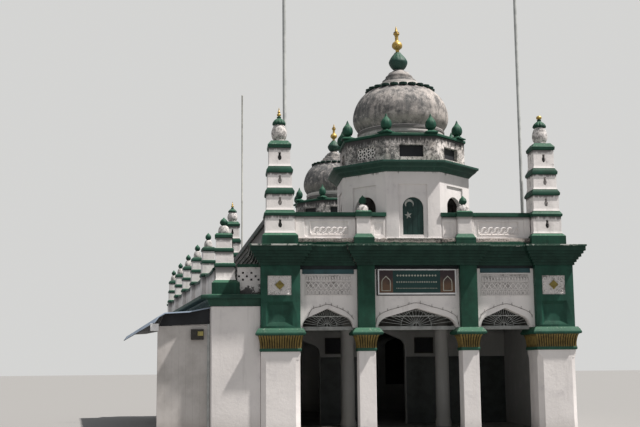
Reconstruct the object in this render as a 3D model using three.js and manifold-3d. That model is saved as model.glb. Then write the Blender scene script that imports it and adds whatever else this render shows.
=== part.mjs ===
// Mosque building: a one-storey prayer hall behind an arched front, with four stepped corner
// towers, two bulbous domes on octagonal drums and a low side wing with small turrets.
// Millimetres. X to the right along the front, Y into the building, Z up.
// The origin lies on the ground, on the centre line of the front towers.
import * as THREE from 'three';
import { mergeVertices } from 'three/addons/utils/BufferGeometryUtils.js';
import Module from 'manifold-3d';

const wasm = await Module();
wasm.setup();

// Heights above the ground
const FLOOR = 150;
const SPRING = 2488;
const WALL_TOP = 3865;
const ROOF_UNDERSIDE = 4110;
const ROOF = 4310;
const RAIL_BOTTOM = 4990;
const RAIL_TOP = 5125;
const WING_WALL_TOP = 2975;
const WING_ROOF = 3330;

// Plan of the main block
const LEFT = -3490;
const RIGHT = 3540;
const PIER_FRONT = -500;
const PIER = 870;
const PIER_BACK = PIER_FRONT + PIER;
const BAY_FRONT = -330;
const BAY_BACK = -70;
const BACK = 13800;
const WALL = 300;
const SKEW = 0.0672;
const JOINT = 0.4;

// Columns of the arcade
const COLUMN_X = 1152;
const PILASTER_HALF = 190;
const COLUMN_HALF_DEPTH = (BAY_BACK - PIER_FRONT) / 2;

// Arches
const SIDE_ARCH_X = 2004;
const SIDE_ARCH_HALF = 567;
const CENTRE_ARCH_HALF = 887;
const ARCH_RISE = 430;

// Towers
const TOWER_X = 3050;
const REAR_TOWER_Y = BACK - 400;
const REAR_LEFT_TOWER_X = -TOWER_X - SKEW * REAR_TOWER_Y - 60;
const REAR_TOWER_CROWN = 0.86;
const PLINTH_HALF = 400;
const PLINTH_TOP = 4603;
const TIER_HALF = 328;
const RAIL_HALF = 358;
const PARAPET_HALF = 100;
const COPING_HALF = 160;
const FRONT_COPING_BOTTOM = 5010;
const FRONT_COPING_TOP = 5100;

// Drums and domes
const DRUM_Y = 1384;
const DRUM_APOTHEM = 1509;
const DRUM_WALL = 130;
const REAR_DOME_X = -630;
const REAR_DOME_Y = 11300;
const REAR_SCALE = 0.87;
const EIGHTH = Math.PI / 4;

// Side wing
const WING_LEFT = -4560;
const WING_FRONT = -370;
const WING_FRONT_EAVE = 0.75;
const WING_PARAPET_FRONT = -200;
const AWNING_FRONT = -180;
const WING_SKEW = 0.139;
const WING_WALL = 250;
const WING_DOORS = [2600, 6400, 10200];
const TURRET_X = -4250;
const TURRET_Y = -40;
const TURRET_FIRST = 2200;
const TURRET_STEP = 2500;

const leftWallAt = (y) => LEFT - SKEW * (y - PIER_BACK);
const wingWallAt = (y) => WING_LEFT - WING_SKEW * (y - WING_FRONT);

// Cleans a geometry into one closed shell that faces outward
function shell(geometry) {
  const bare = geometry.clone();
  bare.deleteAttribute('normal');
  bare.deleteAttribute('uv');
  const merged = mergeVertices(bare, 1e-3);
  const position = merged.getAttribute('position');
  const source = merged.index.array;
  const kept = [];
  for (let i = 0; i < source.length; i += 3) {
    const [a, b, c] = [source[i], source[i + 1], source[i + 2]];
    if (a !== b && b !== c && c !== a) kept.push(a, b, c);
  }
  const p = [0, 1, 2].map(() => new THREE.Vector3());
  let volume = 0;
  for (let i = 0; i < kept.length; i += 3) {
    p.forEach((v, k) => v.fromBufferAttribute(position, kept[i + k]));
    volume += p[0].dot(p[1].clone().cross(p[2]));
  }
  if (volume < 0) kept.reverse();
  merged.setIndex(kept);
  return merged;
}

function solidOf(geometry) {
  const clean = shell(geometry);
  return new wasm.Manifold(new wasm.Mesh({
    numProp: 3,
    vertProperties: new Float32Array(clean.getAttribute('position').array),
    triVerts: new Uint32Array(clean.index.array),
  }));
}

function geometryOf(solid) {
  const mesh = solid.getMesh();
  const geometry = new THREE.BufferGeometry();
  geometry.setAttribute('position', new THREE.BufferAttribute(mesh.vertProperties, 3));
  geometry.setIndex(new THREE.BufferAttribute(mesh.triVerts, 1));
  return geometry;
}

const join = (pieces) => geometryOf(pieces.map(solidOf).reduce((a, b) => a.add(b)));
const cut = (body, holes) => geometryOf(holes.map(solidOf).reduce((a, b) => a.subtract(b), solidOf(body)));

function outline(points) {
  return new THREE.Shape(points.map(([x, y]) => new THREE.Vector2(x, y)));
}

// Plan outline raised from z0 to z1
function prism(points, z0, z1, hole) {
  const shape = outline(points);
  if (hole) shape.holes.push(new THREE.Path(hole.map(([x, y]) => new THREE.Vector2(x, y))));
  const geometry = new THREE.ExtrudeGeometry(shape, { depth: z1 - z0, bevelEnabled: false });
  return geometry.translate(0, 0, z0);
}

function box(x0, x1, y0, y1, z0, z1) {
  const geometry = new THREE.BoxGeometry(x1 - x0, y1 - y0, z1 - z0);
  return geometry.translate((x0 + x1) / 2, (y0 + y1) / 2, (z0 + z1) / 2);
}

// Front elevation outline (x, z) extruded in depth from y0 to y1
function elevation(points, y0, y1) {
  const geometry = new THREE.ExtrudeGeometry(outline(points), { depth: y1 - y0, bevelEnabled: false });
  return geometry.rotateX(Math.PI / 2).translate(0, y1, 0);
}

// Turned profile of (radius, z) points about a vertical axis
function turned(profile, segments = 32) {
  const points = profile.map(([r, z]) => new THREE.Vector2(r, z));
  return new THREE.LatheGeometry(points, segments).rotateX(Math.PI / 2);
}

// Square stack of (half width, z) points
function squared(profile, stretchX = 1, stretchY = 1) {
  const corner = profile.map(([h, z]) => [h * Math.SQRT2, z]);
  return turned(corner, 4).rotateZ(Math.PI / 4).scale(stretchX, stretchY, 1);
}

// Octagonal ring or stack of (apothem, z) points
function octagonal(profile) {
  const corner = profile.map(([a, z]) => [a / Math.cos(EIGHTH / 2), z]);
  return turned(corner, 8).rotateZ(EIGHTH / 2);
}

// Moves every side of a counter-clockwise plan outline outward by d
function grown(points, d) {
  const n = points.length;
  return points.map((p, i) => {
    const before = new THREE.Vector2(...p).sub(new THREE.Vector2(...points[(i + n - 1) % n])).normalize();
    const after = new THREE.Vector2(...points[(i + 1) % n]).sub(new THREE.Vector2(...p)).normalize();
    const a = new THREE.Vector2(before.y, -before.x);
    const b = new THREE.Vector2(after.y, -after.x);
    const miter = a.clone().add(b).multiplyScalar(d / (1 + a.dot(b)));
    return [p[0] + miter.x, p[1] + miter.y];
  });
}

// Pointed arch with round shoulders, open downward to z0
function archOutline(centre, half, spring, rise, z0) {
  const shoulder = 5;
  const right = [];
  for (let i = 0; i <= shoulder; i += 1) {
    const t = (i / shoulder) * 1.05;
    right.push([half - 0.42 * half * (1 - Math.cos(t)), spring + 0.62 * rise * Math.sin(t)]);
  }
  const points = [[centre + half, z0]];
  right.forEach(([x, z]) => points.push([centre + x, z]));
  points.push([centre, spring + rise]);
  right.reverse().forEach(([x, z]) => points.push([centre - x, z]));
  points.push([centre - half, z0]);
  return points;
}

function roundArchOutline(half, z0, spring) {
  const points = [[half, z0]];
  const steps = 8;
  for (let i = 0; i <= steps; i += 1) {
    const t = (i / steps) * Math.PI;
    points.push([half * Math.cos(t), spring + half * Math.sin(t)]);
  }
  points.push([-half, z0]);
  return points;
}

// Small onion with a drawn-out tip, on its own foot
function onionProfile(radius, z0, height, foot) {
  return [
    [0, z0], [foot, z0], [foot, z0 + 0.08 * height], [0.62 * radius, z0 + 0.15 * height],
    [0.95 * radius, z0 + 0.28 * height], [radius, z0 + 0.4 * height], [0.9 * radius, z0 + 0.54 * height],
    [0.6 * radius, z0 + 0.7 * height], [0.22 * radius, z0 + 0.82 * height],
    [0.1 * radius, z0 + 0.92 * height], [0, z0 + height],
  ];
}

// The plan of the main block at wall face, with piers and centre unit standing forward
function mainPlan() {
  return [
    [LEFT, PIER_FRONT], [LEFT + PIER, PIER_FRONT], [LEFT + PIER, BAY_FRONT],
    [-COLUMN_X - PILASTER_HALF, BAY_FRONT], [-COLUMN_X - PILASTER_HALF, PIER_FRONT],
    [COLUMN_X + PILASTER_HALF, PIER_FRONT], [COLUMN_X + PILASTER_HALF, BAY_FRONT],
    [RIGHT - PIER, BAY_FRONT], [RIGHT - PIER, PIER_FRONT], [RIGHT, PIER_FRONT],
    [RIGHT, BACK], [leftWallAt(BACK), BACK], [LEFT, PIER_BACK],
  ];
}

// The inside of the main block at wall face, from the bay backs to the rear wall
function innerPlan() {
  return [
    [LEFT + WALL, BAY_BACK], [RIGHT - WALL, BAY_BACK], [RIGHT - WALL, BACK - WALL],
    [leftWallAt(BACK - WALL) + WALL, BACK - WALL], [LEFT + WALL, PIER_BACK],
  ];
}

function floorSlab() {
  return prism([
    [WING_LEFT, WING_FRONT], [LEFT, WING_FRONT], [LEFT, PIER_FRONT], [RIGHT, PIER_FRONT],
    [RIGHT, BACK], [wingWallAt(BACK), BACK],
  ], 0, FLOOR);
}

// Square pier or column: white shaft, gold necking, green capital and the green shaft above
function supportProfile(shaft, neck, abacus, upper) {
  return [
    [0, FLOOR], [shaft, FLOOR], [shaft, 1975], [neck - 6, 1975], [neck - 6, 2045],
    [neck, 2045], [neck + (abacus - neck) * 0.45, 2336],
    [neck + (abacus - neck) * 0.55, 2336], [abacus - 20, 2420], [abacus, 2420], [abacus, SPRING],
    [upper, SPRING], [upper, WALL_TOP], [0, WALL_TOP],
  ];
}

function pier(x, side) {
  const half = PIER / 2;
  const body = squared(supportProfile(half - 10, half + 20, half + 115, half));
  body.translate(x, PIER_FRONT + half, 0);
  const wallSide = side < 0 ? [LEFT - 200, LEFT, WING_FRONT, PIER_BACK + 200] : null;
  const holes = [box(x - 700, x + 700, PIER_BACK, PIER_BACK + 300, FLOOR, WALL_TOP)];
  if (wallSide) holes.push(box(...wallSide, FLOOR, WALL_TOP));
  return cut(body, holes);
}

function column(x) {
  const deep = COLUMN_HALF_DEPTH / PILASTER_HALF;
  const body = squared(supportProfile(185, 205, 340, PILASTER_HALF), 1, deep);
  return body.translate(x, PIER_FRONT + COLUMN_HALF_DEPTH, 0);
}

function archWall(x0, x1, centre, half) {
  const wall = box(x0, x1, BAY_FRONT, BAY_BACK, SPRING, WALL_TOP);
  const opening = elevation(archOutline(centre, half, SPRING, ARCH_RISE, SPRING - 100),
    BAY_FRONT - 50, BAY_BACK + 50);
  return cut(wall, [opening]);
}

function signBoard() {
  return box(-875, 890, BAY_FRONT - 45, BAY_FRONT, 3232, 3788);
}

// Cornice of stepped courses round the whole block, open over the rooms
function mainCornice() {
  const courses = [
    [WALL_TOP, 3930, 35], [3930, 3985, 75], [3985, 4040, 110], [4040, 4110, 160], [4110, 4170, 200],
    [4170, 4270, 240], [4270, ROOF, 262],
  ];
  const outer = mainPlan();
  const inner = innerPlan();
  return join(courses.map(([z0, z1, d]) => prism(grown(outer, d), z0, z1, inner)));
}

function octagonAt(x, y, apothem) {
  const points = [];
  for (let i = 0; i < 8; i += 1) {
    const t = EIGHTH * (i + 0.5);
    const r = apothem / Math.cos(EIGHTH / 2);
    points.push([x + r * Math.cos(t), y + r * Math.sin(t)]);
  }
  return points;
}

function mainRoof() {
  const edge = [
    [LEFT + WALL, BAY_BACK], [RIGHT - WALL, BAY_BACK], [RIGHT - WALL, BACK - WALL],
    [leftWallAt(BACK - WALL) + WALL + JOINT, BACK - WALL], [LEFT + WALL + JOINT, PIER_BACK],
    [LEFT + WALL, PIER_BACK],
  ];
  const slab = prism(edge, ROOF_UNDERSIDE, ROOF);
  const front = prism(octagonAt(0, DRUM_Y, DRUM_APOTHEM - DRUM_WALL), ROOF_UNDERSIDE - 50, ROOF + 50);
  const rearApothem = (DRUM_APOTHEM - DRUM_WALL) * REAR_SCALE;
  const rear = prism(octagonAt(REAR_DOME_X, REAR_DOME_Y, rearApothem), ROOF_UNDERSIDE - 50, ROOF + 50);
  return cut(slab, [front, rear]);
}

function leftWall() {
  const end = BACK - WALL;
  return prism([
    [LEFT, PIER_BACK], [LEFT + WALL, PIER_BACK], [leftWallAt(end) + WALL, end], [leftWallAt(end), end],
  ], FLOOR, WALL_TOP);
}

function rightWall() {
  return box(RIGHT - WALL, RIGHT, PIER_BACK, BACK - WALL, FLOOR, WALL_TOP);
}

const REAR_WINDOWS = [-2300, 1800];
const REAR_DOOR_X = -250;

function wallArch(x, half, sill, spring, y) {
  return elevation(archOutline(x, half, spring, half * 0.75, sill), y - 50, y + WALL + 50);
}

function rearWall() {
  const y = BACK - WALL;
  const plan = [[leftWallAt(y), y], [RIGHT, y], [RIGHT, BACK], [leftWallAt(BACK), BACK]];
  const wall = prism(plan, FLOOR, WALL_TOP);
  const holes = REAR_WINDOWS.map((x) => wallArch(x, 450, 1050, 2350, y));
  holes.push(wallArch(REAR_DOOR_X, 600, FLOOR - 10, 2350, y));
  return cut(wall, holes);
}

const INNER_WALL_Y = 4500;

function innerWall() {
  const y0 = INNER_WALL_Y;
  const y1 = y0 + 200;
  const wall = prism([
    [leftWallAt(y0) + WALL + JOINT, y0], [RIGHT - WALL, y0], [RIGHT - WALL, y1],
    [leftWallAt(y1) + WALL + JOINT, y1],
  ], FLOOR, ROOF_UNDERSIDE);
  const door = elevation(archOutline(0, 520, 2150, 390, FLOOR - 10), y0 - 50, y1 + 50);
  const side = elevation(archOutline(-2250, 480, 2000, 360, FLOOR - 10), y0 - 50, y1 + 50);
  return cut(wall, [door, side]);
}

const PORCH_Y = 2950;
const BEAM_BOTTOM = 3300;

function porchColumn(x) {
  const profile = [
    [0, FLOOR], [190, FLOOR], [190, FLOOR + 120], [135, FLOOR + 180], [125, 2900], [150, 2930],
    [150, 2990], [130, 3020], [200, 3160], [200, BEAM_BOTTOM], [0, BEAM_BOTTOM],
  ];
  return turned(profile, 14).translate(x, PORCH_Y, 0);
}

function porchBeam() {
  const [y0, y1] = [PORCH_Y - 120, PORCH_Y + 120];
  return prism([
    [leftWallAt(y0) + WALL + JOINT, y0], [RIGHT - WALL, y0], [RIGHT - WALL, y1],
    [leftWallAt(y1) + WALL + JOINT, y1],
  ], BEAM_BOTTOM, ROOF_UNDERSIDE);
}

// Corner tower of four narrowing tiers with banded caps, then the little dome and its ribbed cap
function towerProfile() {
  return [
    [0, ROOF], [PLINTH_HALF, ROOF], [PLINTH_HALF, 4545], [TIER_HALF + 12, PLINTH_TOP],
    [TIER_HALF, PLINTH_TOP], [TIER_HALF, RAIL_BOTTOM],
    [RAIL_HALF, RAIL_BOTTOM + 30], [RAIL_HALF, RAIL_TOP - 35], [308, RAIL_TOP],
    [298, RAIL_TOP], [298, 5484], [331, 5514], [331, 5590], [282, 5632],
    [272, 5632], [272, 5975], [301, 6005], [301, 6090], [250, 6132],
    [240, 6132], [240, 6554], [268, 6590], [268, 6670], [190, 6734], [0, 6734],
  ];
}

const CAP_TOP = 7280;

function towerDome() {
  return turned([
    [0, 6733], [125, 6733], [125, 6765], [158, 6830], [176, 6915], [172, 6990], [140, 7075],
    [112, 7118], [150, 7140], [156, 7175], [138, 7220], [95, 7255], [60, CAP_TOP], [0, CAP_TOP],
  ], 12);
}

function towerFinial(whole) {
  const ball = [
    [0, CAP_TOP - 1], [42, CAP_TOP - 1], [30, CAP_TOP + 18], [70, CAP_TOP + 45], [80, CAP_TOP + 75],
    [62, CAP_TOP + 110], [26, CAP_TOP + 128],
  ];
  const spire = [[26, 7425], [45, 7445], [45, 7460], [20, 7480], [12, 7510], [0, 7545]];
  const stump = [[18, 7425], [0, 7425]];
  return turned(ball.concat(whole ? spire : stump), 10);
}

function tower(x, y, whole, tall = 1) {
  const foot = 6733;
  const crown = [towerDome(), towerFinial(whole)].map((g) => g.translate(0, 0, -foot).scale(1, 1, tall)
    .translate(0, 0, foot));
  return join([squared(towerProfile()), ...crown]).translate(x, y, 0);
}

// Parapet between two stops along X or along the skewed side, seated against plinth, tier and rail
function parapetPart(line, half, stops, z0, z1) {
  const [from, to] = stops;
  return prism([
    [line(from) - half, from], [line(from) + half, from], [line(to) + half, to], [line(to) - half, to],
  ], z0, z1);
}

function sideParapet(line) {
  const stops = (reach) => [reach, REAR_TOWER_Y - reach];
  return join([
    parapetPart(line, PARAPET_HALF, stops(PLINTH_HALF), ROOF, PLINTH_TOP),
    parapetPart(line, PARAPET_HALF, stops(TIER_HALF + 12), PLINTH_TOP, RAIL_BOTTOM),
    parapetPart(line, COPING_HALF, stops(RAIL_HALF), RAIL_BOTTOM, RAIL_TOP),
  ]);
}

function rearParapet() {
  const [y, left, right] = [REAR_TOWER_Y, REAR_LEFT_TOWER_X, TOWER_X];
  const part = (reach, half, z0, z1) => box(left + reach, right - reach, y - half, y + half, z0, z1);
  return join([
    part(PLINTH_HALF, PARAPET_HALF, ROOF, PLINTH_TOP),
    part(TIER_HALF + 12, PARAPET_HALF, PLINTH_TOP, RAIL_BOTTOM),
    part(RAIL_HALF, COPING_HALF, RAIL_BOTTOM, RAIL_TOP),
  ]);
}

const POST_X = 1160;

// Front parapet half, from the tower to the slanting side of the drum, with its small domed post
function frontParapet(side) {
  const slant = (y) => 625 + (y - (DRUM_Y - DRUM_APOTHEM)) + 3;
  const part = (reach, y0, y1, z0, z1) => {
    const corner = DRUM_Y - DRUM_APOTHEM;
    const points = [[TOWER_X - reach, y1], [TOWER_X - reach, y0]];
    if (y0 < corner) points.push([slant(corner), y0], [slant(corner), corner]);
    else points.push([slant(y0), y0]);
    points.push([slant(y1), y1]);
    return prism(points.map(([x, y]) => [x * side, y]), z0, z1);
  };
  const post = squared([
    [0, ROOF], [230, ROOF], [230, 4500], [165, 4560], [155, 4560], [155, 4960], [185, RAIL_BOTTOM],
    [185, RAIL_TOP - 20], [150, RAIL_TOP + 10], [0, RAIL_TOP + 10],
  ]).translate(POST_X * side, -80, 0);
  const dome = turned([
    [0, RAIL_TOP], [135, RAIL_TOP], [142, 5190], [115, 5250], [60, 5285], [48, 5295], [82, 5330],
    [92, 5370], [75, 5425], [28, 5470], [0, 5505],
  ], 10).translate(POST_X * side, -80, 0);
  return join([
    part(PLINTH_HALF, -250, PARAPET_HALF, ROOF, 4500),
    part(PLINTH_HALF, -PARAPET_HALF, PARAPET_HALF, 4500, PLINTH_TOP),
    part(TIER_HALF + 12, -PARAPET_HALF, PARAPET_HALF, PLINTH_TOP, RAIL_BOTTOM),
    part(RAIL_HALF, -PARAPET_HALF, PARAPET_HALF, RAIL_BOTTOM, FRONT_COPING_BOTTOM),
    part(RAIL_HALF, -COPING_HALF, COPING_HALF, FRONT_COPING_BOTTOM, FRONT_COPING_TOP),
    post, dome,
  ]);
}

// Drum heights are those of the main drum; the rear drum shrinks them towards the roof level
const DRUM_TOP = 6050;
const DRUM_CORNICE_TOP = 6285;
const UPPER_APOTHEM = 1430;
const UPPER_WALL = 110;
const COPING_BOTTOM = 6905;
const COPING_TOP = 6985;
const ONION_TIP = 7450;

// Two of the coping finials stand short of their corner
const SLIDES = { 0: 95, 1: 195 };

const DRUM_SPRING = 5226;
const DRUM_DOOR_HALF = 240;
const DRUM_ARCH_HALF = 300;
const DOOR_SILL = 4560;
const OPEN_SILL = 4450;

// The drum is two courses that meet at the springing line of its arches
function drumCourse(bottom, top, frontSill) {
  const a = DRUM_APOTHEM;
  const b = a - DRUM_WALL;
  const tube = octagonal([[a, bottom], [a, top], [b, top], [b, bottom], [a, bottom]]);
  const holes = [];
  for (let i = 0; i < 8; i += 1) {
    const sill = i === 0 ? frontSill : OPEN_SILL;
    const half = i === 0 ? DRUM_DOOR_HALF : DRUM_ARCH_HALF;
    const arch = elevation(roundArchOutline(half, sill, DRUM_SPRING), -a - 50, -b + 50);
    const recess = box(-330, 330, -a - 50, -a + 35, sill - 30, 5765);
    holes.push(arch.rotateZ(EIGHTH * i), recess.rotateZ(EIGHTH * i));
  }
  return cut(tube, holes);
}

const drumHead = () => drumCourse(DRUM_SPRING, DRUM_TOP, OPEN_SILL);

function drumDoor() {
  const y = -DRUM_APOTHEM + 65;
  return elevation(roundArchOutline(DRUM_DOOR_HALF - 1, DOOR_SILL + 1, DRUM_SPRING), y, y + 40);
}

function drumCornice() {
  const hole = 900;
  const a = DRUM_APOTHEM;
  const plate = octagonal([
    [0, DRUM_TOP], [a + 10, DRUM_TOP], [a + 60, 6095], [a + 110, 6150], [a + 160, 6175], [a + 200, 6230],
    [a + 231, 6240], [a + 231, DRUM_CORNICE_TOP], [0, DRUM_CORNICE_TOP],
  ]);
  const well = turned([[0, DRUM_TOP - 50], [hole, DRUM_TOP - 50], [hole, DRUM_CORNICE_TOP + 50],
    [0, DRUM_CORNICE_TOP + 50]], 24);
  return cut(plate, [well]);
}

function drumParapet() {
  const a = UPPER_APOTHEM;
  const b = a - UPPER_WALL;
  const z0 = DRUM_CORNICE_TOP;
  const tube = octagonal([[a, z0], [a, COPING_BOTTOM], [b, COPING_BOTTOM], [b, z0], [a, z0]]);
  const slot = box(-282, 282, -a - 50, -b + 50, 6420, 6700);
  const holes = [0, 1, 2, 3, 4, 5, 6, 7].map((i) => slot.clone().rotateZ(EIGHTH * i));
  return cut(tube, holes);
}

function drumCoping() {
  const a = UPPER_APOTHEM + 35;
  const b = UPPER_APOTHEM - UPPER_WALL - 35;
  const pieces = [octagonal([[a, COPING_BOTTOM], [a, COPING_TOP], [b, COPING_TOP], [b, COPING_BOTTOM],
    [a, COPING_BOTTOM]])];
  const foot = squared([[0, COPING_TOP - 10], [150, COPING_TOP - 10], [150, 7010], [95, 7030], [80, 7060],
    [0, 7060]]);
  const onion = turned(onionProfile(130, 7050, ONION_TIP - 7050, 60), 8);
  const middle = UPPER_APOTHEM - UPPER_WALL / 2;
  const corner = middle * Math.tan(EIGHTH / 2);
  for (let i = 0; i < 8; i += 1) {
    const slide = SLIDES[i] || 0;
    const place = (g) => g.clone().translate(corner - slide, -middle, 0).rotateZ(EIGHTH * i);
    pieces.push(place(foot), place(onion));
  }
  return join(pieces);
}

const RING_TOP = 7290;
const CROWN = 8360;
const LEAF_BASE = 8290;
const ONION_BASE = 8880;
const GOLD_BASE = 9350;
const SPIRE_TIP = 9998;
const LEAF_COUNT = 20;
const MAIN_LEAN = 0.04;
const REAR_LEAN = -0.02;

// Bulbous shell on a plain ring, flat where the leaf disc sits
function dome() {
  const outer = [
    [1010, DRUM_CORNICE_TOP], [1010, 7090], [1062, 7100], [1062, RING_TOP - 30], [1035, RING_TOP],
    [1075, 7360], [1125, 7440], [1155, 7530], [1164, 7620], [1152, 7740], [1105, 7900], [1035, 8040],
    [935, 8170], [795, LEAF_BASE], [700, LEAF_BASE], [680, CROWN], [0, CROWN],
  ];
  const inner = [
    [0, 8240], [640, 8240], [830, 8110], [940, 7960], [1010, 7820], [1050, 7700], [1054, 7600],
    [1035, 7500], [985, 7390], [925, 7290], [900, DRUM_CORNICE_TOP], [1010, DRUM_CORNICE_TOP],
  ];
  return turned(outer.concat(inner), 28);
}

// Ring of leaves that flares from a ledge near the crown
function leafRing() {
  const [inner, top] = [712, LEAF_BASE + 42];
  const section = [[inner, LEAF_BASE], [760, LEAF_BASE], [775, top], [inner, top], [inner, LEAF_BASE]];
  const band = turned(section, 20);
  const leaf = outline([[0, -100], [50, -100], [118, 0], [50, 100], [0, 100]]);
  const blade = new THREE.ExtrudeGeometry(leaf, { depth: 30, bevelEnabled: false });
  blade.rotateY(-0.15).translate(722, 0, LEAF_BASE + 6);
  const pieces = [band];
  for (let i = 0; i < LEAF_COUNT; i += 1) {
    pieces.push(blade.clone().rotateZ((i / LEAF_COUNT) * 2 * Math.PI));
  }
  return join(pieces);
}

// Ringed cap, green onion and gold spire, turned in one piece that leans a little
function crown(lean) {
  const piece = turned([
    [0, CROWN], [620, CROWN], [590, 8400], [540, 8440], [510, 8500], [440, 8530], [420, 8590], [360, 8630],
    [345, 8690], [290, 8735], [265, 8780], [180, 8830], [118, ONION_BASE], [170, 8960], [220, 9045],
    [230, 9110], [208, 9200], [145, 9285], [62, GOLD_BASE], [45, 9380], [75, 9410], [122, 9460],
    [130, 9510], [100, 9572], [55, 9610], [42, 9660], [42, 9745], [75, 9785], [75, 9812], [42, 9842],
    [25, 9910], [0, SPIRE_TIP],
  ], 16);
  const shear = new THREE.Matrix4().set(1, 0, -lean, lean * CROWN, 0, 1, 0, 0, 0, 0, 1, 0, 0, 0, 0, 1);
  return piece.applyMatrix4(shear);
}

// The rear dome repeats the front one, narrower, with a taller drum and a shorter crown
const REAR_STRETCHES = [[ROOF, 1.039], [COPING_TOP, 0.967], [CROWN, 0.856]];

function rearHeight(z) {
  return REAR_STRETCHES.reduce((sum, [from, ratio], i) => {
    const to = i < REAR_STRETCHES.length - 1 ? REAR_STRETCHES[i + 1][0] : Infinity;
    return sum + ratio * Math.max(0, Math.min(z, to) - from);
  }, ROOF);
}

function rearPiece(geometry) {
  const position = geometry.getAttribute('position');
  for (let i = 0; i < position.count; i += 1) {
    const [x, y, z] = [position.getX(i), position.getY(i), position.getZ(i)];
    position.setXYZ(i, x * REAR_SCALE + REAR_DOME_X, y * REAR_SCALE + REAR_DOME_Y, rearHeight(z));
  }
  return geometry;
}

const frontPiece = (geometry) => geometry.translate(0, DRUM_Y, 0);

// Wing: one wall round three sides, open towards the main block
function wingWalls() {
  const y0 = WING_FRONT;
  const y1 = y0 + WING_WALL;
  const y2 = BACK - WING_WALL;
  const outer = prism([
    [WING_LEFT, y0], [LEFT, y0], [LEFT, y1], [wingWallAt(y1) + WING_WALL, y1],
    [wingWallAt(y2) + WING_WALL, y2], [leftWallAt(y2) - JOINT, y2], [leftWallAt(BACK) - JOINT, BACK],
    [wingWallAt(BACK), BACK],
  ], FLOOR, WING_WALL_TOP);
  const holes = WING_DOORS.map((y) => {
    const x = wingWallAt(y);
    return box(x - 300, x + 500, y - 600, y + 600, FLOOR, 2350);
  });
  return cut(outer, holes);
}

function wingRoof() {
  const inner = (y) => leftWallAt(y) - JOINT;
  const plan = (d) => {
    const side = (y) => wingWallAt(y) - d;
    const front = WING_FRONT - WING_FRONT_EAVE * d;
    return [
      [side(front), front], [LEFT, front], [LEFT, PIER_BACK],
      [LEFT - JOINT, PIER_BACK], [inner(BACK + d), BACK + d], [side(BACK + d), BACK + d],
    ];
  };
  const courses = [[WING_WALL_TOP, 3080, 30], [3080, 3150, 70], [3150, 3220, 110], [3220, 3295, 150],
    [3295, WING_ROOF, 170]];
  return join(courses.map(([z0, z1, d]) => prism(plan(d), z0, z1)));
}

function turretProfile(base) {
  const foot = base ? [[310, WING_ROOF], [310, 3500], [225, 3560]] : [[200, WING_ROOF]];
  return [
    [0, WING_ROOF], ...foot, [212, foot[foot.length - 1][1]],
    [212, 3846], [240, 3866], [240, 3915], [205, 3942],
    [198, 3942], [198, 4188], [218, 4200], [218, 4255], [186, 4278], [178, 4278], [178, 4501],
    [200, 4520], [200, 4580], [150, 4612], [0, 4612],
  ];
}

const TURRET_TIP = 4985;

function turretDome() {
  return turned([
    [0, 4611], [122, 4611], [127, 4660], [115, 4720], [82, 4770], [44, 4795], [34, 4812], [78, 4845],
    [90, 4880], [74, 4925], [28, 4960], [0, TURRET_TIP],
  ], 8);
}

function cornerTurret() {
  return join([squared(turretProfile(true)), turretDome()]).translate(TURRET_X, TURRET_Y, 0);
}

function wingFrontParapet() {
  const x0 = TURRET_X + 310;
  const tier = TURRET_X + 225;
  const y = WING_PARAPET_FRONT;
  return join([
    box(x0, LEFT, y, y + 150, WING_ROOF, 3560),
    box(tier, LEFT, y, y + 150, 3560, 3850),
    box(TURRET_X + 240.4, LEFT - 35, y - 40, y + 190, 3850, 3915),
  ]);
}

// Side parapet of the wing: turrets joined by low walls whose coping hangs in shallow curves
function wingSideParapet() {
  const pieces = [];
  const span = TURRET_STEP;
  const wallBay = (from, to) => {
    const dip = 170;
    const steps = 6;
    const curve = (z) => Array.from({ length: steps + 1 }, (_, i) => {
      const t = i / steps;
      return [from + (to - from) * t, z - dip * 4 * t * (1 - t)];
    });
    const wall = [[from, WING_ROOF], [to, WING_ROOF]].concat(curve(3860).reverse());
    const cope = curve(3850).concat(curve(3915).reverse());
    const along = (points, half) => new THREE.ExtrudeGeometry(outline(points),
      { depth: 2 * half, bevelEnabled: false }).rotateX(Math.PI / 2).rotateZ(Math.PI / 2)
      .translate(-half, 0, 0);
    return [along(wall, 75), along(cope, 110)];
  };
  const starts = [0, 1, 2, 3, 4].map((i) => TURRET_FIRST + i * span);
  const turret = join([squared(turretProfile(false)), turretDome()])
    .translate(0, 0, -WING_ROOF).scale(0.8, 0.8, 0.96).translate(0, 0, WING_ROOF);
  starts.forEach((y) => pieces.push(turret.clone().translate(0, y, 0)));
  const stops = [320, ...starts, BACK - 60];
  for (let i = 0; i < stops.length - 1; i += 1) {
    pieces.push(...wallBay(stops[i] + (i ? 150 : 0), stops[i + 1] - (i < 5 ? 150 : 0)));
  }
  const body = join(pieces);
  return body.rotateZ(Math.atan(WING_SKEW)).translate(WING_LEFT - WING_SKEW * 200 + 205, 0, 0);
}

const AWNING = [
  [0, 2940], [-470, 2847], [-990, 2816], [-1120, 2740], [-1215, 2612], [-1240, 2618], [-1140, 2760],
  [-1000, 2846], [-470, 2877], [0, 2970],
];

// Lean-to awning along the side street, bent from thin sheet
function sideAwning() {
  const depth = BACK + 100;
  const sheet = new THREE.ExtrudeGeometry(outline(AWNING), { depth, bevelEnabled: false });
  sheet.rotateX(Math.PI / 2).translate(0, depth, 0).rotateZ(Math.atan(WING_SKEW));
  return sheet.translate(wingWallAt(AWNING_FRONT) - JOINT, AWNING_FRONT, 0);
}

function awningEndPanel() {
  return box(-5740, wingWallAt(-90) - JOINT, -130, -90, 0, 2560);
}

function pole(x, y, radius, z0, z1) {
  const taper = radius * 0.75;
  return turned([[0, z0], [radius, z0], [taper, z1], [0, z1]], 12).translate(x, y, 0);
}

const model = new THREE.Group();
model.name = 'mosque_building';

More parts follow.
